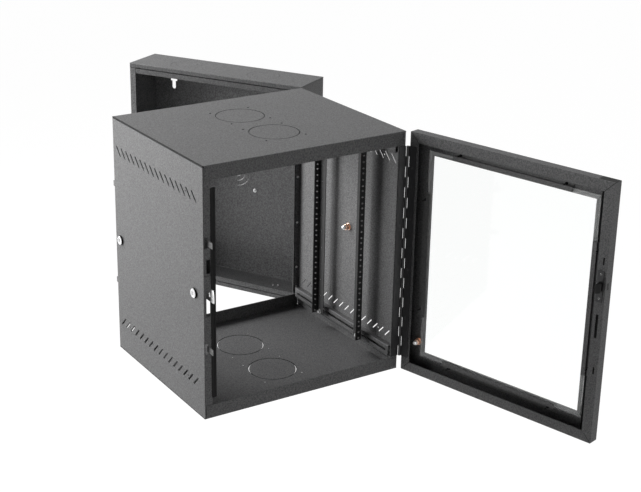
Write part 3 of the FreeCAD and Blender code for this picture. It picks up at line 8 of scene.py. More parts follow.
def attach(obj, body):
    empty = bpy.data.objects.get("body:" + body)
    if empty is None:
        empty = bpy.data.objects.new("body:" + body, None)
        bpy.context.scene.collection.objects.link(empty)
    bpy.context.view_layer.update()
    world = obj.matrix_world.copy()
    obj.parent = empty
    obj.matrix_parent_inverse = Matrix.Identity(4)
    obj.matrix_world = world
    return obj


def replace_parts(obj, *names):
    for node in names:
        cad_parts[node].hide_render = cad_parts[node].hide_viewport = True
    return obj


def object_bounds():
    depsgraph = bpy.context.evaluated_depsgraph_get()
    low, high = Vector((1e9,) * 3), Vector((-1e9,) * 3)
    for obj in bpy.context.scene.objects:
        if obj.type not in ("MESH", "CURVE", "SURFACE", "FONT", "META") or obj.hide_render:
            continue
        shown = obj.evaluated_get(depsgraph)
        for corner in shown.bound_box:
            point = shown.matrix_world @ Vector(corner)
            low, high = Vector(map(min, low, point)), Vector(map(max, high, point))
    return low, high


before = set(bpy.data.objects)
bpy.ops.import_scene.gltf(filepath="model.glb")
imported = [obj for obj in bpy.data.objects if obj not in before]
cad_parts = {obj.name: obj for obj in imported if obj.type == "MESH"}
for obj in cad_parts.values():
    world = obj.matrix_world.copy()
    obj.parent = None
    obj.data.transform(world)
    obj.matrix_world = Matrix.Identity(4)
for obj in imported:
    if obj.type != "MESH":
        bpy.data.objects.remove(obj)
cad_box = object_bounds()

# Wall section: a shallow pan bolted to the wall, with its top and bottom plates and the folded
# braces behind their front lips. Bent and welded sheet steel under a textured black powder coat,
# whose sand-like grain catches the light. The pan's coat is painted a shade lighter, as painted
# light.


class Socket:
    """An output of a shader node. Arithmetic on it adds Math nodes."""

    def __init__(self, finish, link):
        self.finish = finish
        self.link = link

    def __add__(self, other):
        return self.finish.math("ADD", self, other)

    def __radd__(self, other):
        return self.finish.math("ADD", other, self)

    def __sub__(self, other):
        return self.finish.math("SUBTRACT", self, other)

    def __rsub__(self, other):
        return self.finish.math("SUBTRACT", other, self)

    def __mul__(self, other):
        return self.finish.math("MULTIPLY", self, other)

    def __rmul__(self, other):
        return self.finish.math("MULTIPLY", other, self)


class Finish:
    """A material or a world that is built up node by node."""

    def __init__(self, name, slot=None, owner=None):
        self.material = owner or bpy.data.materials.new(name)
        self.material.use_nodes = True
        self.slot = slot
        self.tree = self.material.node_tree
        self.shader = self.tree.nodes.get("Principled BSDF")
        self.place = self.node("ShaderNodeTexCoord", output="Object")

    def node(self, kind, settings=None, inputs=None, output=0):
        """Add a node with its settings and the values or links of its sockets."""
        made = self.tree.nodes.new(kind)
        for name, value in (settings or {}).items():
            setattr(made, name, value)
        for name, value in (inputs or {}).items():
            self.feed(made.inputs[name], value)
        return Socket(self, made.outputs[output])

    def feed(self, socket, value):
        """Link a socket to another node, or set its value."""
        if isinstance(value, Socket):
            self.tree.links.new(value.link, socket)
        else:
            socket.default_value = value

    def surface(self, **values):
        """Set sockets of the shader, named with underscores for spaces."""
        for name, value in values.items():
            self.feed(self.shader.inputs[name.replace("_", " ")], value)

    def math(self, operation, *values):
        return self.node("ShaderNodeMath", {"operation": operation}, dict(enumerate(values)))

    def noise(self, scale, detail=2.0, roughness=0.5):
        inputs = {"Vector": self.place, "Scale": scale, "Detail": detail, "Roughness": roughness}
        return self.node("ShaderNodeTexNoise", None, inputs)

    def contrast(self, value, low, high):
        """A value stretched, so that low becomes 0 and high 1."""
        inputs = {"Value": value, "From Min": low, "From Max": high}
        return self.node("ShaderNodeMapRange", {"clamp": True}, inputs)

    def blend(self, factor, low, high):
        """A colour between two others."""
        low, high = [end if isinstance(end, Socket) else (*end, 1) for end in (low, high)]
        inputs = {"Factor": factor, 6: low, 7: high}
        return self.node("ShaderNodeMix", {"data_type": "RGBA"}, inputs, output=2)

    def bump(self, height, depth, strength=1.0):
        inputs = {"Height": height, "Distance": depth, "Strength": strength}
        return self.node("ShaderNodeBump", None, inputs)


def grey(level):
    return level, level, level


def powder_coat(name, slot, dark, light, mattness=0.44, marks=None):
    """Textured paint: coarse and fine grains show in colour, gloss and relief.

    Marks are painted shade in seams, cuts and hollows, and the door's dark mitre lines.
    They are dark, and as black metal they have no white gloss.
    """
    coat = Finish(name, slot)
    coarse = coat.contrast(coat.noise(scale=330, detail=3.0, roughness=0.6), low=0.36, high=0.64)
    fine = coat.noise(scale=1500, roughness=0.6)
    drift = coat.noise(scale=7, detail=1.0)
    tint = coat.blend(coarse * 0.85 + drift * 0.15, dark, light)
    if marks:
        # The marks are painted shade: they turn the coat near-black, as metal without white gloss.
        painted_shade = marks(coat)
        tint = coat.blend(painted_shade, tint, grey(0.010))
        coat.surface(Metallic=painted_shade)
    coat.surface(
        Base_Color=tint,
        Roughness=mattness + fine * 0.2,
        Normal=coat.bump(coarse * 0.6 + fine * 0.4, depth=0.0004, strength=0.35),
    )
    return coat


def paint(finish, *nodes):
    """Give CAD nodes a finish in place of their plain colour."""
    for node in nodes:
        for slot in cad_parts[node].material_slots:
            slot.material = finish.material


coat_shades = (0.046, 0.046, 0.047), (0.154, 0.154, 0.156)
# A lighter copy of the coat: painted light for the wall pan and the right side panel.
painted_light_shades = (0.062, 0.062, 0.063), (0.205, 0.205, 0.208)
cabinet_coat = powder_coat("cabinet_powder_coat", "black_powder_coat", *coat_shades)
painted_light_coat = powder_coat("wall_pan_coat", "black_powder_coat", *painted_light_shades)
paint(cabinet_coat, "wall_top_panel", "wall_bottom_panel", "wall_top_brace", "wall_bottom_brace")
paint(painted_light_coat, "wall_pan")

# Earth stud of the wall section: a bright zinc-plated stud through the back pan, with a washer
# and a nut for the earth lead. The stud is threaded, and the nut is a chamfered hexagon.
zinc = Finish("zinc_plate", "bright_steel")
brushed = zinc.noise(scale=600, detail=3.0, roughness=0.6)
zinc.surface(
    Base_Color=zinc.blend(brushed, grey(0.74), grey(0.95)),
    Metallic=1.0,
    Roughness=0.24 + brushed * 0.16,
    Normal=zinc.bump(brushed, depth=0.00004, strength=0.5),
)
same_corner, same_point = 1e-5, 1e-6
smooth_angle = math.radians(35)


def solids(node, turn):
    """The lowest and highest corner of each solid in a CAD node, along its turned body's axes.

    They are sorted from the bottom up, then along X and Y, each to a tenth of a millimetre.
    """
    shell = bmesh.new()
    shell.from_mesh(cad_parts[node].data)
    bmesh.ops.remove_doubles(shell, verts=shell.verts, dist=same_corner)
    back = Matrix.Rotation(-turn, 3, "Z")
    waiting = set(shell.verts)
    boxes = []
    while waiting:
        front = [waiting.pop()]
        corners = []
        while front:
            corner = front.pop()
            corners.append(back @ corner.co)
            for edge in corner.link_edges:
                other = edge.other_vert(corner)
                if other in waiting:
                    waiting.remove(other)
                    front.append(other)
        axes = list(zip(*corners))
        boxes.append((Vector([min(axis) for axis in axes]), Vector([max(axis) for axis in axes])))
    shell.free()
    return sorted(boxes, key=lambda box: [round(box[0][axis], 4) for axis in (2, 0, 1)])


def span(boxes, along):
    """Where some solids start along a direction, in their middle, and how far they reach."""
    low = Vector([min(box[0][axis] for box in boxes) for axis in range(3)])
    high = Vector([max(box[1][axis] for box in boxes) for axis in range(3)])
    half = abs(((high - low) / 2).dot(along))
    return (low + high) / 2 - along * half, 2 * half


def start(name):
    """Name the primitive that was just added, and shape it in edit mode."""
    bpy.context.object.name = name
    bpy.ops.object.mode_set(mode="EDIT")
    bpy.ops.mesh.select_mode(type="FACE")


def pick(test):
    """Select the faces whose normal passes a test."""
    shape = bmesh.from_edit_mesh(bpy.context.object.data)
    for face in shape.faces:
        face.select_set(bool(test(face.normal)))
    shape.select_flush(False)
    bmesh.update_edit_mesh(bpy.context.object.data)


def pick_ends():
    """Select the flat faces at both ends of a shape that stands along Z."""
    pick(lambda normal: abs(normal.z) > 0.99)


def grow(height, scale):
    """Extrude what is selected along Z, and widen or narrow its end."""
    bpy.ops.mesh.extrude_region_move(TRANSFORM_OT_translate={"value": (0, 0, height)})
    bpy.ops.transform.resize(value=(scale, scale, 1))


def finish_shape(finish):
    """Close the mesh, turn its faces outwards and give it its material."""
    bpy.ops.mesh.select_all(action="SELECT")
    bpy.ops.mesh.remove_doubles(threshold=same_point)
    bpy.ops.mesh.normals_make_consistent(inside=False)
    bpy.ops.object.mode_set(mode="OBJECT")
    bpy.ops.object.shade_smooth_by_angle(angle=smooth_angle)
    piece = bpy.context.object
    piece.data.materials.clear()
    piece.data.materials.append(finish.material)
    return piece


def make_hex_nut(radius, height, bore, finish):
    """Hexagon nut with both rims chamfered and an open bore. It stands on the origin along Z."""
    bpy.ops.object.select_all(action="DESELECT")
    bpy.ops.mesh.primitive_cylinder_add(
        vertices=36, radius=radius, depth=height, location=(0, 0, height / 2)
    )
    start("hex_nut")
    chamfer = radius * 0.12
    pick_ends()
    bpy.ops.mesh.bevel(offset=chamfer, segments=1, affect="EDGES")
    flat_reach = radius * math.cos(math.pi / 6)
    for side in range(6):
        away = Vector((math.cos(math.pi / 3 * side), math.sin(math.pi / 3 * side), 0))
        bpy.ops.mesh.select_all(action="SELECT")
        bpy.ops.mesh.bisect(
            plane_co=away * flat_reach, plane_no=away, use_fill=True, clear_outer=True
        )
    pick_ends()
    bpy.ops.mesh.inset(thickness=radius - chamfer - bore, use_individual=True)
    bpy.ops.mesh.bridge_edge_loops()
    return finish_shape(finish)


def make_washer(radius, height, bore, finish):
    """Flat washer with softened rims and an open bore. It stands on the origin along Z."""
    bpy.ops.object.select_all(action="DESELECT")
    bpy.ops.mesh.primitive_cylinder_add(
        vertices=36, radius=radius, depth=height, location=(0, 0, height / 2)
    )
    start("washer")
    softening = height * 0.25
    pick_ends()
    bpy.ops.mesh.bevel(offset=softening, segments=2, affect="EDGES")
    pick_ends()
    bpy.ops.mesh.inset(thickness=radius - softening - bore, use_individual=True)
    bpy.ops.mesh.bridge_edge_loops()
    return finish_shape(finish)


def make_threaded_rod(radius, length, pitch, finish):
    """Threaded rod with a chamfered end. It stands on the origin along Z."""
    bpy.ops.object.select_all(action="DESELECT")
    root_share, tip_share = 0.84, 0.9
    bpy.ops.mesh.primitive_circle_add(vertices=20, radius=radius * root_share, fill_type="NGON")
    start("threaded_rod")
    bpy.ops.mesh.select_all(action="SELECT")
    turns = int(length / pitch)
    plain_length = (length - turns * pitch) / 2
    grow(plain_length, 1)
    for thread in range(turns):
        grow(pitch / 2, 1 / root_share)
        grow(pitch / 2, root_share)
    grow(plain_length, tip_share)
    return finish_shape(finish)


def spot(foot, along, turn):
    """Where a fastener stands: its foot and direction along the axes of its turned body."""
    aim = Vector(along).to_track_quat("Z", "Y").to_matrix().to_4x4()
    return Matrix.Rotation(turn, 4, "Z") @ Matrix.Translation(foot) @ aim


def assemble(name, body, slot, *placed):
    """Join copies of master pieces, each with its own mesh, into one that rides on a body."""
    bpy.ops.object.select_all(action="DESELECT")
    for master, spots in placed:
        for place in spots:
            piece = master.copy()
            piece.data = master.data.copy()
            bpy.context.collection.objects.link(piece)
            piece.matrix_world = place
            piece.select_set(True)
            bpy.context.view_layer.objects.active = piece
    if len(bpy.context.selected_objects) > 1:
        bpy.ops.object.join()
    made = bpy.context.object
    made.name = name
    bpy.ops.object.transform_apply(location=True, rotation=True, scale=True)
    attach(made, body)
    return made


def put_away(*masters):
    """Remove master pieces, once their copies are in place."""
    for master in masters:
        bpy.data.objects.remove(master)


def earth_terminal(
    name, body, direction, turn, plating, rod_radius, pitch, washer_radius, washer_height,
    nut_radius, nut_height, end_radius=None,
):
    """A threaded stud with washer and nuts, in place of the plain solids of its two nodes.

    An end nut has the stud's own finish and belongs to the stud's node.
    """
    along = Vector(direction)
    foot, length = span(solids(f"{name}_stud", turn), along)
    seat, stack = span(solids(f"{name}_nuts", turn), along)
    bore = rod_radius * 1.01
    rod = make_threaded_rod(rod_radius, length, pitch, zinc)
    bright = [(rod, [spot(foot, along, turn)])]
    if end_radius:
        end_nut = make_hex_nut(end_radius, nut_height, bore, zinc)
        bright.append((end_nut, [spot(seat + along * stack, along, turn)]))
    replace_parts(assemble(f"{name}_threads", body, zinc.slot, *bright), f"{name}_stud")
    washer = make_washer(washer_radius, washer_height, bore, plating)
    nut = make_hex_nut(nut_radius, nut_height, bore, plating)
    nut_count = round((stack - washer_height) / nut_height)
    levels = [washer_height + nut_height * number for number in range(nut_count)]
    plated = [
        (nut, [spot(seat + along * level, along, turn) for level in levels]),
        (washer, [spot(seat, along, turn)]),
    ]
    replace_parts(assemble(f"{name}_hexagons", body, plating.slot, *plated), f"{name}_nuts")
    put_away(*[master for master, spots in bright + plated])


earth_terminal(
    "wall_earth", "wall_section", (0, -1, 0), 0.0, zinc,
    rod_radius=0.0025, pitch=0.0008, washer_radius=0.0054, washer_height=0.0008,
    nut_radius=0.0046, nut_height=0.0032,
)

# Main body: top and floor with their fan knock-outs, and two vented side panels. Coated sheet steel,
# spot welded at the corners. Seams, cuts, bolt holes and the edges of the left vents get painted
# shade: dark lines in the coat. The right panel has the wall pan's lighter coat, as painted light.
# Painted light: the right panel's coat is lighter than the cabinet's.
paint(painted_light_coat, "right_side_panel")
body_turn = math.radians(60)
body_right = Vector((math.cos(body_turn), math.sin(body_turn), 0))
body_back = Vector((-math.sin(body_turn), math.cos(body_turn), 0))
fan_front_setback, fan_pitch = 0.147, 0.158
fan_bolt_reach, fan_bolt_radius = 0.0525, 0.0029
kerf_radius, kerf_reach = 0.0587, 0.0012
floor_sheet = 0.0012
seam_reach = 0.0020


def measure(coat, operation, point):
    """How far the surface reaches along a direction, or how far it lies from a point."""
    inputs = {0: coat.place, 1: point}
    return coat.node("ShaderNodeVectorMath", {"operation": operation}, inputs, output=1)


def near(value, middle, reach):
    """1 where a value lies within a reach of a middle, and 0 elsewhere."""
    return value.finish.math("COMPARE", value, middle, reach)


def cap_marks(node):
    """Painted shade in the knock-outs' cuts, the top's bolt holes and the left edge's seam."""
    low, high = solids(node, body_turn)[0]
    is_top = node == "top_panel"
    level = high.z if is_top else low.z + floor_sheet
    across = (low.x + high.x) / 2
    rings = []
    for fan in range(2):
        back = low.y + fan_front_setback + fan_pitch * fan
        rings.append((across, back, kerf_radius, kerf_reach))
        if is_top:
            rings += [
                (across + fan_bolt_reach * side, back + fan_bolt_reach * way, 0, fan_bolt_radius)
                for side in (-1, 1) for way in (-1, 1)
            ]

    def marks(coat):
        shade = near(measure(coat, "DOT_PRODUCT", body_right), low.x, seam_reach)
        for right, back, radius, reach in rings:
            centre = body_right * right + body_back * back + Vector((0, 0, level))
            ring = near(measure(coat, "DISTANCE", centre), radius, reach)
            shade = coat.math("MAXIMUM", shade, ring)
        return shade

    return marks


for node in ("top_panel", "floor_panel"):
    marks = cap_marks(node)
    paint(powder_coat(f"{node}_coat", "black_powder_coat", *coat_shades, marks=marks), node)

left_low, left_high = solids("left_side_panel", body_turn)[0]
vent_first_setback, vent_last_margin, vent_pitch = 0.043, 0.025, 0.0254
vent_edge_distance, vent_rise, vent_reach = 0.078, 0.0108, 0.0030


def left_marks(coat):
    """Painted shade in the seam under the top's edge, and round both rows of slanted vents."""
    level = measure(coat, "DOT_PRODUCT", (0, 0, 1))
    back = measure(coat, "DOT_PRODUCT", body_back) - (left_low.y + vent_first_setback)
    row_length = left_high.y - left_low.y - vent_first_setback - vent_last_margin
    last = int(row_length / vent_pitch) * vent_pitch
    row_level = left_high.z - vent_edge_distance
    shade = near(level, left_high.z, seam_reach)
    for end in (1, -1):
        rise = level - row_level * end
        slant = back - rise * end
        from_vent = coat.math("WRAP", slant, vent_pitch / 2, -vent_pitch / 2)
        vents = near(from_vent, 0.0, vent_reach) * near(rise, 0.0, vent_rise)
        row = near(slant, last / 2, (last + vent_pitch) / 2)
        shade = coat.math("MAXIMUM", shade, vents * row)
    return shade


left_coat = powder_coat("left_panel_coat", "black_powder_coat", *coat_shades, marks=left_marks)
paint(left_coat, "left_side_panel")

# Braces and rack rails: slotted channels in the cabinet's coat carry four tapped rails, which have
# a smoother and blacker coat. The taps cut through it, so each rack hole has a bare steel mouth.
rail_coat = powder_coat(
    "rail_coat", "black_steel", (0.010, 0.010, 0.010), (0.026, 0.026, 0.027), mattness=0.5
)
paint(cabinet_coat, "upper_left_brace", "upper_right_brace", "lower_left_brace", "lower_right_brace")
paint(rail_coat, "front_left_rail", "front_right_rail", "rear_left_rail", "rear_right_rail")
paint(zinc, "rail_bolts", "rail_spacers", "rail_nuts")
rack_unit, rack_step, rack_first = 0.04445, 0.015875, 0.00635
rack_units, holes_per_unit = 12, 3
hole_inset, rail_sheet = 0.00755, 0.002
mouth_radius, mouth_width, mouth_proud = 0.00235, 0.00020, 0.00012
mouth_chamfer = 0.0008
tapped = Finish("tapped_steel", "bright_steel")
scratches = tapped.noise(scale=700)
tapped.surface(
    Base_Color=tapped.blend(scratches, grey(0.10), grey(0.26)),
    Metallic=1.0,
    Roughness=0.36 + scratches * 0.14,
)


def make_hole_mouth(finish):
    """Bare ring round a tapped hole, chamfered into the bore. It stands on the origin along Z."""
    bpy.ops.object.select_all(action="DESELECT")
    height = rail_sheet + 2 * mouth_proud
    bpy.ops.mesh.primitive_cylinder_add(
        vertices=12, radius=mouth_radius + mouth_width, depth=height,
        location=(0, 0, height / 2),
    )
    start("hole_mouth")
    pick_ends()
    bpy.ops.mesh.inset(thickness=mouth_width, depth=0, use_individual=True)
    bpy.ops.mesh.inset(thickness=mouth_chamfer, depth=-mouth_chamfer, use_individual=True)
    bpy.ops.mesh.bridge_edge_loops()
    return finish_shape(finish)


mouth = make_hole_mouth(tapped)
for side in ("left", "right"):
    for end in ("front", "rear"):
        rail = f"{end}_{side}_rail"
        low, high = solids(rail, body_turn)[0]
        line = high.x - hole_inset if side == "left" else low.x + hole_inset
        face = low.y if end == "front" else high.y - rail_sheet
        places = []
        for unit in range(rack_units):
            for hole in range(holes_per_unit):
                level = low.z + rack_first + rack_unit * unit + rack_step * hole
                middle = Vector((line, face - mouth_proud, level))
                places.append(spot(middle, (0, 1, 0), body_turn))
        assemble(f"{rail}_hole_mouths", "main_body", tapped.slot, (mouth, places))
put_away(mouth)

# Strike plate and guide tongues: a pressed cup behind the left front flange, in which the door's
# latch catches, and bent tongues that line the parts up as they shut. Welded steel. The cup has the
# cabinet's coat, and the tongues have a paler one.
tongue_coat = powder_coat("guide_coat", "black_powder_coat", grey(0.09), grey(0.17))
paint(cabinet_coat, "door_strike_plate")
paint(tongue_coat, "guide_tongues")

# Seal strip on the left front flange: black rubber with a dusty bloom, pushed over the flange's
# edge beside the door opening.
rubber = Finish("seal_rubber", "black_rubber")
bloom = rubber.noise(scale=140, detail=3.0, roughness=0.6)
rubber.surface(
    Base_Color=rubber.blend(bloom, grey(0.006), grey(0.016)),
    Roughness=0.6 + bloom * 0.25,
    Specular_IOR_Level=0.2,
    Normal=rubber.bump(bloom, depth=0.00008, strength=0.4),
)
paint(rubber, "door_seal_strip")

# Earth terminals of body and door: a bright stud and end nut, and two copper-plated nuts on a
# copper-plated washer between which the earth leads are clamped.
copper = Finish("copper_plate", "copper")
tarnish = copper.noise(scale=400, detail=3.0, roughness=0.6)
copper.surface(
    Base_Color=copper.blend(tarnish, (0.93, 0.52, 0.36), (0.98, 0.69, 0.53)),
    Metallic=1.0,
    Roughness=0.18 + tarnish * 0.2,
)
door_turn = body_turn + math.radians(105)
terminal = {
    "rod_radius": 0.004, "pitch": 0.00125, "washer_radius": 0.0092, "washer_height": 0.0012,
    "nut_radius": 0.008, "nut_height": 0.0055, "end_radius": 0.0062,
}
earth_terminal("body_earth", "main_body", (-1, 0, 0), body_turn, copper, **terminal)
earth_terminal("door_earth", "door", (0, 1, 0), door_turn, copper, **terminal)

# Key locks in the left side: a chrome-plated housing and plug, and a zinc-plated nut and hooked cam.
# The rim of the housing's bezel, behind its face, is painted dark as painted shade.
chrome = Finish("lock_chrome", "chrome")
haze = chrome.noise(scale=300)
chrome.surface(
    Base_Color=chrome.blend(haze, (0.62, 0.62, 0.63), (0.78, 0.78, 0.79)),
    Metallic=1.0,
    Roughness=0.08 + haze * 0.08,
)
paint(chrome, "front_lock_plug", "rear_lock_plug")
bezel = Finish("lock_bezel", "chrome")
bezel_face = solids("front_lock_housing", body_turn)[0][0].x
face_depth = 0.0010
depth = measure(bezel, "DOT_PRODUCT", body_right)
# The rim behind the face is painted near-black, as painted shade.
shaded_rim = bezel.math("GREATER_THAN", depth, bezel_face + face_depth)
bezel.surface(
    Base_Color=bezel.blend(shaded_rim, (0.78, 0.78, 0.79), grey(0.03)),
    Metallic=1.0,
    Roughness=0.14 + bezel.noise(scale=300) * 0.08,
)
paint(bezel, "front_lock_housing", "rear_lock_housing")
paint(zinc, "lock_nuts", "front_lock_cam", "rear_lock_cam")

# Piano hinges: rolled steel leaves on a long pin, screwed on. The door's hinge and both pins are
# blackened, with faint mottling, and the door hinge's screws too. The swing hinge has the cabinet's
# coat and bright screws. The screws' heads are domed, with a cross.
blackened = Finish("blackened_steel", "black_steel")
mottle = blackened.noise(scale=220, detail=4.0, roughness=0.6)
blackened.surface(
    Base_Color=blackened.blend(mottle, (0.010, 0.010, 0.011), (0.026, 0.026, 0.028)),
    Roughness=0.34 + mottle * 0.2,
    Normal=blackened.bump(mottle, depth=0.00006, strength=0.4),
)
paint(blackened, "door_hinge_body_leaf", "door_hinge_door_leaf", "door_hinge_pin", "swing_hinge_pin")
paint(cabinet_coat, "swing_hinge_wall_leaf", "swing_hinge_body_leaf")


def make_cross_screw(head_radius, head_height, shank_radius, shank_length, finish):
    """Domed screw with a cross recess. Its head stands on the origin along Z, its shank below."""
    bpy.ops.object.select_all(action="DESELECT")
    arm_reach, half_slit = head_radius * 0.5, head_radius * 0.14
    recess_floor, recess_top = head_height * 0.5, head_height * 2
    dome_rise, tip_chamfer = head_height * 0.8, shank_radius * 0.3
    bpy.ops.mesh.primitive_cube_add(
        size=half_slit * 2, location=(0, 0, (recess_floor + recess_top) / 2)
    )
    start("cross_cutter")
    bpy.ops.transform.resize(value=(1, 1, (recess_top - recess_floor) / (half_slit * 2)))
    pick(lambda normal: abs(normal.z) < 0.5)
    bpy.ops.mesh.extrude_faces_move(
        MESH_OT_extrude_faces_indiv={},
        TRANSFORM_OT_shrink_fatten={"value": arm_reach - half_slit},
    )
    cutter = finish_shape(finish)
    bpy.ops.object.select_all(action="DESELECT")
    bpy.ops.mesh.primitive_cylinder_add(
        vertices=24, radius=head_radius, depth=head_height, location=(0, 0, head_height / 2)
    )
    start("cross_screw")
    pick(lambda normal: normal.z > 0.9)
    bpy.ops.mesh.bevel(offset=dome_rise, segments=3, affect="EDGES")
    pick(lambda normal: normal.z < -0.9)
    bpy.ops.mesh.inset(thickness=head_radius - shank_radius)
    bpy.ops.mesh.extrude_region_move(TRANSFORM_OT_translate={"value": (0, 0, -shank_length)})
    bpy.ops.mesh.bevel(offset=tip_chamfer, segments=1, affect="EDGES")
    screw = finish_shape(finish)
    cross = screw.modifiers.new("cross", "BOOLEAN")
    cross.object = cutter
    cross.solver = "EXACT"
    bpy.ops.object.modifier_apply(modifier="cross")
    put_away(cutter)
    return screw


def screw_set(name, body, direction, turn, finish, head_radius, head_height, shank_radius):
    """Cross-recessed screws in place of a node's plain ones."""
    along = Vector(direction)
    spans = [span([box], along) for box in solids(name, turn)]
    places = [spot(foot + along * (length - head_height), along, turn) for foot, length in spans]
    shank_length = spans[-1][1] - head_height
    screw = make_cross_screw(head_radius, head_height, shank_radius, shank_length, finish)
    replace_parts(assemble(f"{name}_domed", body, finish.slot, (screw, places)), name)
    put_away(screw)


hinge_screw = {"head_radius": 0.0034, "head_height": 0.0011, "shank_radius": 0.0019}
screw_set("door_hinge_body_screws", "main_body", (0, -1, 0), body_turn, blackened, **hinge_screw)
screw_set("door_hinge_door_screws", "door", (0, 1, 0), door_turn, blackened, **hinge_screw)
screw_set("swing_hinge_body_screws", "main_body", (0, -1, 0), body_turn, zinc, **hinge_screw)
screw_set("swing_hinge_wall_screws", "wall_section", (0, 1, 0), 0.0, zinc, **hinge_screw)

# Door: a sheet frame with a mitred return in the cabinet's coat, and four folded bars in the paler
# coat that clamp the glass. The hollow behind the return's slots has painted shade, and the
# mitres show as dark lines.
door_right = Vector((math.cos(door_turn), math.sin(door_turn), 0))
door_back = Vector((-math.sin(door_turn), math.cos(door_turn), 0))
door_low, door_high = solids("door_frame", door_turn)[0]
skin_depth, return_depth, hollow_reach = 0.0006, 0.0020, 0.042
mitre_reach = 0.0007


def between(value, low, high):
    """1 where a value lies between two others, and 0 elsewhere."""
    return near(value, (low + high) / 2, (high - low) / 2)


def door_marks(coat):
    """Painted shade in the hollow behind the latch-side slots, and the dark mitre lines."""
    across = measure(coat, "DOT_PRODUCT", door_right)
    deep = measure(coat, "DOT_PRODUCT", door_back)
    level = measure(coat, "DOT_PRODUCT", (0, 0, 1))
    return_low = door_high.y - return_depth
    beside_slots = between(across, door_low.x + skin_depth, door_low.x + hollow_reach)
    shaded_hollow = beside_slots * between(deep, door_low.y + skin_depth, return_low)
    centre, half = (door_low + door_high) / 2, (door_high - door_low) / 2
    sideways = coat.math("ABSOLUTE", across - centre.x)
    upwards = coat.math("ABSOLUTE", level - centre.z)
    mitre = near(sideways - upwards, half.x - half.z, mitre_reach)
    return coat.math("MAXIMUM", shaded_hollow, mitre * coat.math("GREATER_THAN", deep, return_low))


door_coat = powder_coat("door_coat", "black_powder_coat", *coat_shades, marks=door_marks)
paint(door_coat, "door_frame")
paint(
    tongue_coat,
    "glass_clip_latch_side", "glass_clip_hinge_side", "glass_clip_bottom", "glass_clip_top",
)

# Door pane: clear toughened glass, 4 mm thick. The four bars press it on a grey foam gasket that
# is stuck to the frame.
pane = Finish("clear_glass", "clear_glass")
pane.surface(Base_Color=(0.985, 0.995, 0.99, 1), Roughness=0.0, IOR=1.25, Transmission_Weight=1.0)
paint(pane, "door_glass")
foam = Finish("gasket_foam", "black_rubber")
cells = foam.noise(scale=900, detail=3.0, roughness=0.6)
foam.surface(
    Base_Color=foam.blend(cells, grey(0.26), grey(0.34)),
    Roughness=0.75,
    Normal=foam.bump(cells, depth=0.0001, strength=0.4),
)
paint(foam, "glass_gasket")

# Glass bar studs and nuts: threaded studs welded to the door skin, with chamfered nuts on the
# bars' feet, all blackened.
nut_black = Finish("nut_black_oxide", "black_steel")
oxide = nut_black.noise(scale=500)
nut_black.surface(
    Base_Color=nut_black.blend(oxide, grey(0.006), grey(0.016)),
    Metallic=1.0,
    Roughness=0.22 + oxide * 0.12,
)
bar_stud_radius, bar_stud_pitch = 0.0017, 0.0007
bar_nut_radius, bar_nut_height = 0.0035, 0.0032
bar_nut_bore = bar_stud_radius * 1.02


def feet(node, along, turn):
    """Where each solid of a node stands."""
    return [spot(span([box], along)[0], along, turn) for box in solids(node, turn)]


outwards = Vector((0, 1, 0))
stud_spots = feet("glass_clip_studs", outwards, door_turn)
bar_stud_length = span(solids("glass_clip_studs", door_turn)[-1:], outwards)[1]
stud = make_threaded_rod(bar_stud_radius, bar_stud_length, bar_stud_pitch, nut_black)
threads = assemble("glass_bar_threads", "door", nut_black.slot, (stud, stud_spots))
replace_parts(threads, "glass_clip_studs")
nut_spots = feet("glass_clip_nuts", outwards, door_turn)
nut = make_hex_nut(bar_nut_radius, bar_nut_height, bar_nut_bore, nut_black)
hexagons = assemble("glass_bar_hexagons", "door", nut_black.slot, (nut, nut_spots))
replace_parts(hexagons, "glass_clip_nuts")
put_away(stud, nut)

# Door latch: a moulded black plastic case and tongue on a blackened steel plate, with a zinc-plated
# leaf spring inside. Two polished dark screws hold it.
plastic = Finish("latch_plastic", "black_plastic")
moulding = plastic.noise(scale=900)
plastic.surface(
    Base_Color=plastic.blend(moulding, grey(0.004), grey(0.010)),
    Roughness=0.3 + moulding * 0.16,
    Specular_IOR_Level=0.2,
    Normal=plastic.bump(moulding, depth=0.00005, strength=0.4),
)
paint(plastic, "latch_case", "latch_tongue")
paint(blackened, "latch_plate")
paint(zinc, "latch_spring")
latch_black = Finish("latch_screw_black", "black_steel")
polish = latch_black.noise(scale=300)
latch_black.surface(
    Base_Color=latch_black.blend(polish, grey(0.14), grey(0.22)),
    Metallic=1.0,
    Roughness=0.12 + polish * 0.1,
)
screw_set(
    "latch_screws", "door", (0, 1, 0), door_turn, latch_black,
    head_radius=0.0026, head_height=0.0014, shank_radius=0.0018,
)

# Floor: a plain pale floor well below the cabinet, as it hangs on a wall. It shows nearly white to
# the camera, in metal and through glass, and keeps a soft shadow.
bpy.ops.object.select_all(action="DESELECT")
floor_drop, floor_width = 0.75, 60
bpy.ops.mesh.primitive_plane_add(size=floor_width, location=(0, 0, cad_box[0].z - floor_drop))
floor = bpy.context.object
floor.name = "studio_floor"
pale = Finish("studio_pale")
pale.surface(Base_Color=(*grey(0.8), 1), Roughness=0.9)
floor_glow, glow_share, gloss_share = 1.06, 0.93, 0.83


def seen_share(finish):
    """How bright the studio shows: in full to the camera and through glass, less in gloss."""
    camera, through, mirrored = [
        finish.node("ShaderNodeLightPath", output=f"Is {kind} Ray")
        for kind in ("Camera", "Transmission", "Glossy")
    ]
    seen = finish.math("MAXIMUM", camera, through)
    return finish.math("MAXIMUM", seen, mirrored * gloss_share)


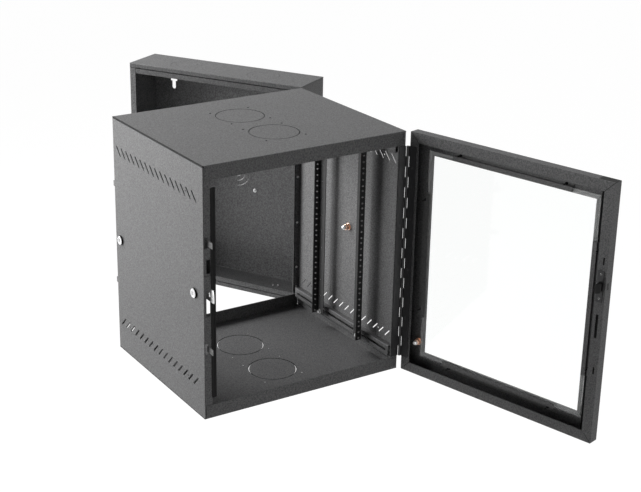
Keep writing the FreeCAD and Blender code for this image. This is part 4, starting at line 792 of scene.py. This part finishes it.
glow = pale.node("ShaderNodeEmission", None, {"Color": (1, 1, 1, 1), "Strength": floor_glow})
matt = Socket(pale, pale.shader.outputs[0])
mixed = pale.node("ShaderNodeMixShader", None, {0: seen_share(pale) * glow_share, 1: matt, 2: glow})
pale.feed(pale.tree.nodes["Material Output"].inputs["Surface"], mixed)
floor.data.materials.append(pale.material)

# Studio: a white room that shows in gloss and through glass, and doesn't light matt surfaces. Two
# broad lamps stand to the left, one low and one high, a weak one below them and one to the right.
world = bpy.data.worlds.new("studio")
bpy.context.scene.world = world
room = Finish("studio", owner=world)
background = room.tree.nodes["Background"]
room.feed(background.inputs["Color"], (1, 1, 1, 1))
room.feed(background.inputs["Strength"], seen_share(room))
lit_middle = Vector((0.35, -0.48, 0.0))
lamp_distance = 3.4
for name, direction, width, power in (
    ("low_lamp", (-0.99, -0.35, 0.3), 1.3, 71),
    ("high_lamp", (-0.96, 0.16, 0.75), 1.6, 110),
    ("under_lamp", (-0.98, -0.10, -0.1), 1.6, 28),
    ("right_lamp", (1.0, -0.15, 0.3), 1.8, 12),
):
    lamp = bpy.data.lights.new(name, "AREA")
    lamp.shape = "DISK"
    lamp.size = width
    lamp.energy = power
    stand = bpy.data.objects.new(name, lamp)
    bpy.context.scene.collection.objects.link(stand)
    away = Vector(direction).normalized()
    stand.location = lit_middle + away * lamp_distance
    stand.rotation_euler = away.to_track_quat("Z", "Y").to_euler()

# Camera: stands in front and to the right, above the cabinet, and looks down at it. Its frame is
# shifted, so that the open door and the wall section both fit.
view = bpy.data.cameras.new("camera")
view.sensor_width = 36
view.lens = 78.19
view.shift_x = 0.1173
view.shift_y = -0.0201
view.clip_end = 100
look_down, look_left = math.radians(20.52), math.radians(29.96)
camera = bpy.data.objects.new("camera", view)
bpy.context.scene.collection.objects.link(camera)
camera.location = (1.8810, -3.2146, 1.2051)
camera.rotation_euler = (math.pi / 2 - look_down, 0, look_left)
bpy.context.scene.camera = camera
bpy.context.scene.view_settings.view_transform = "Standard"
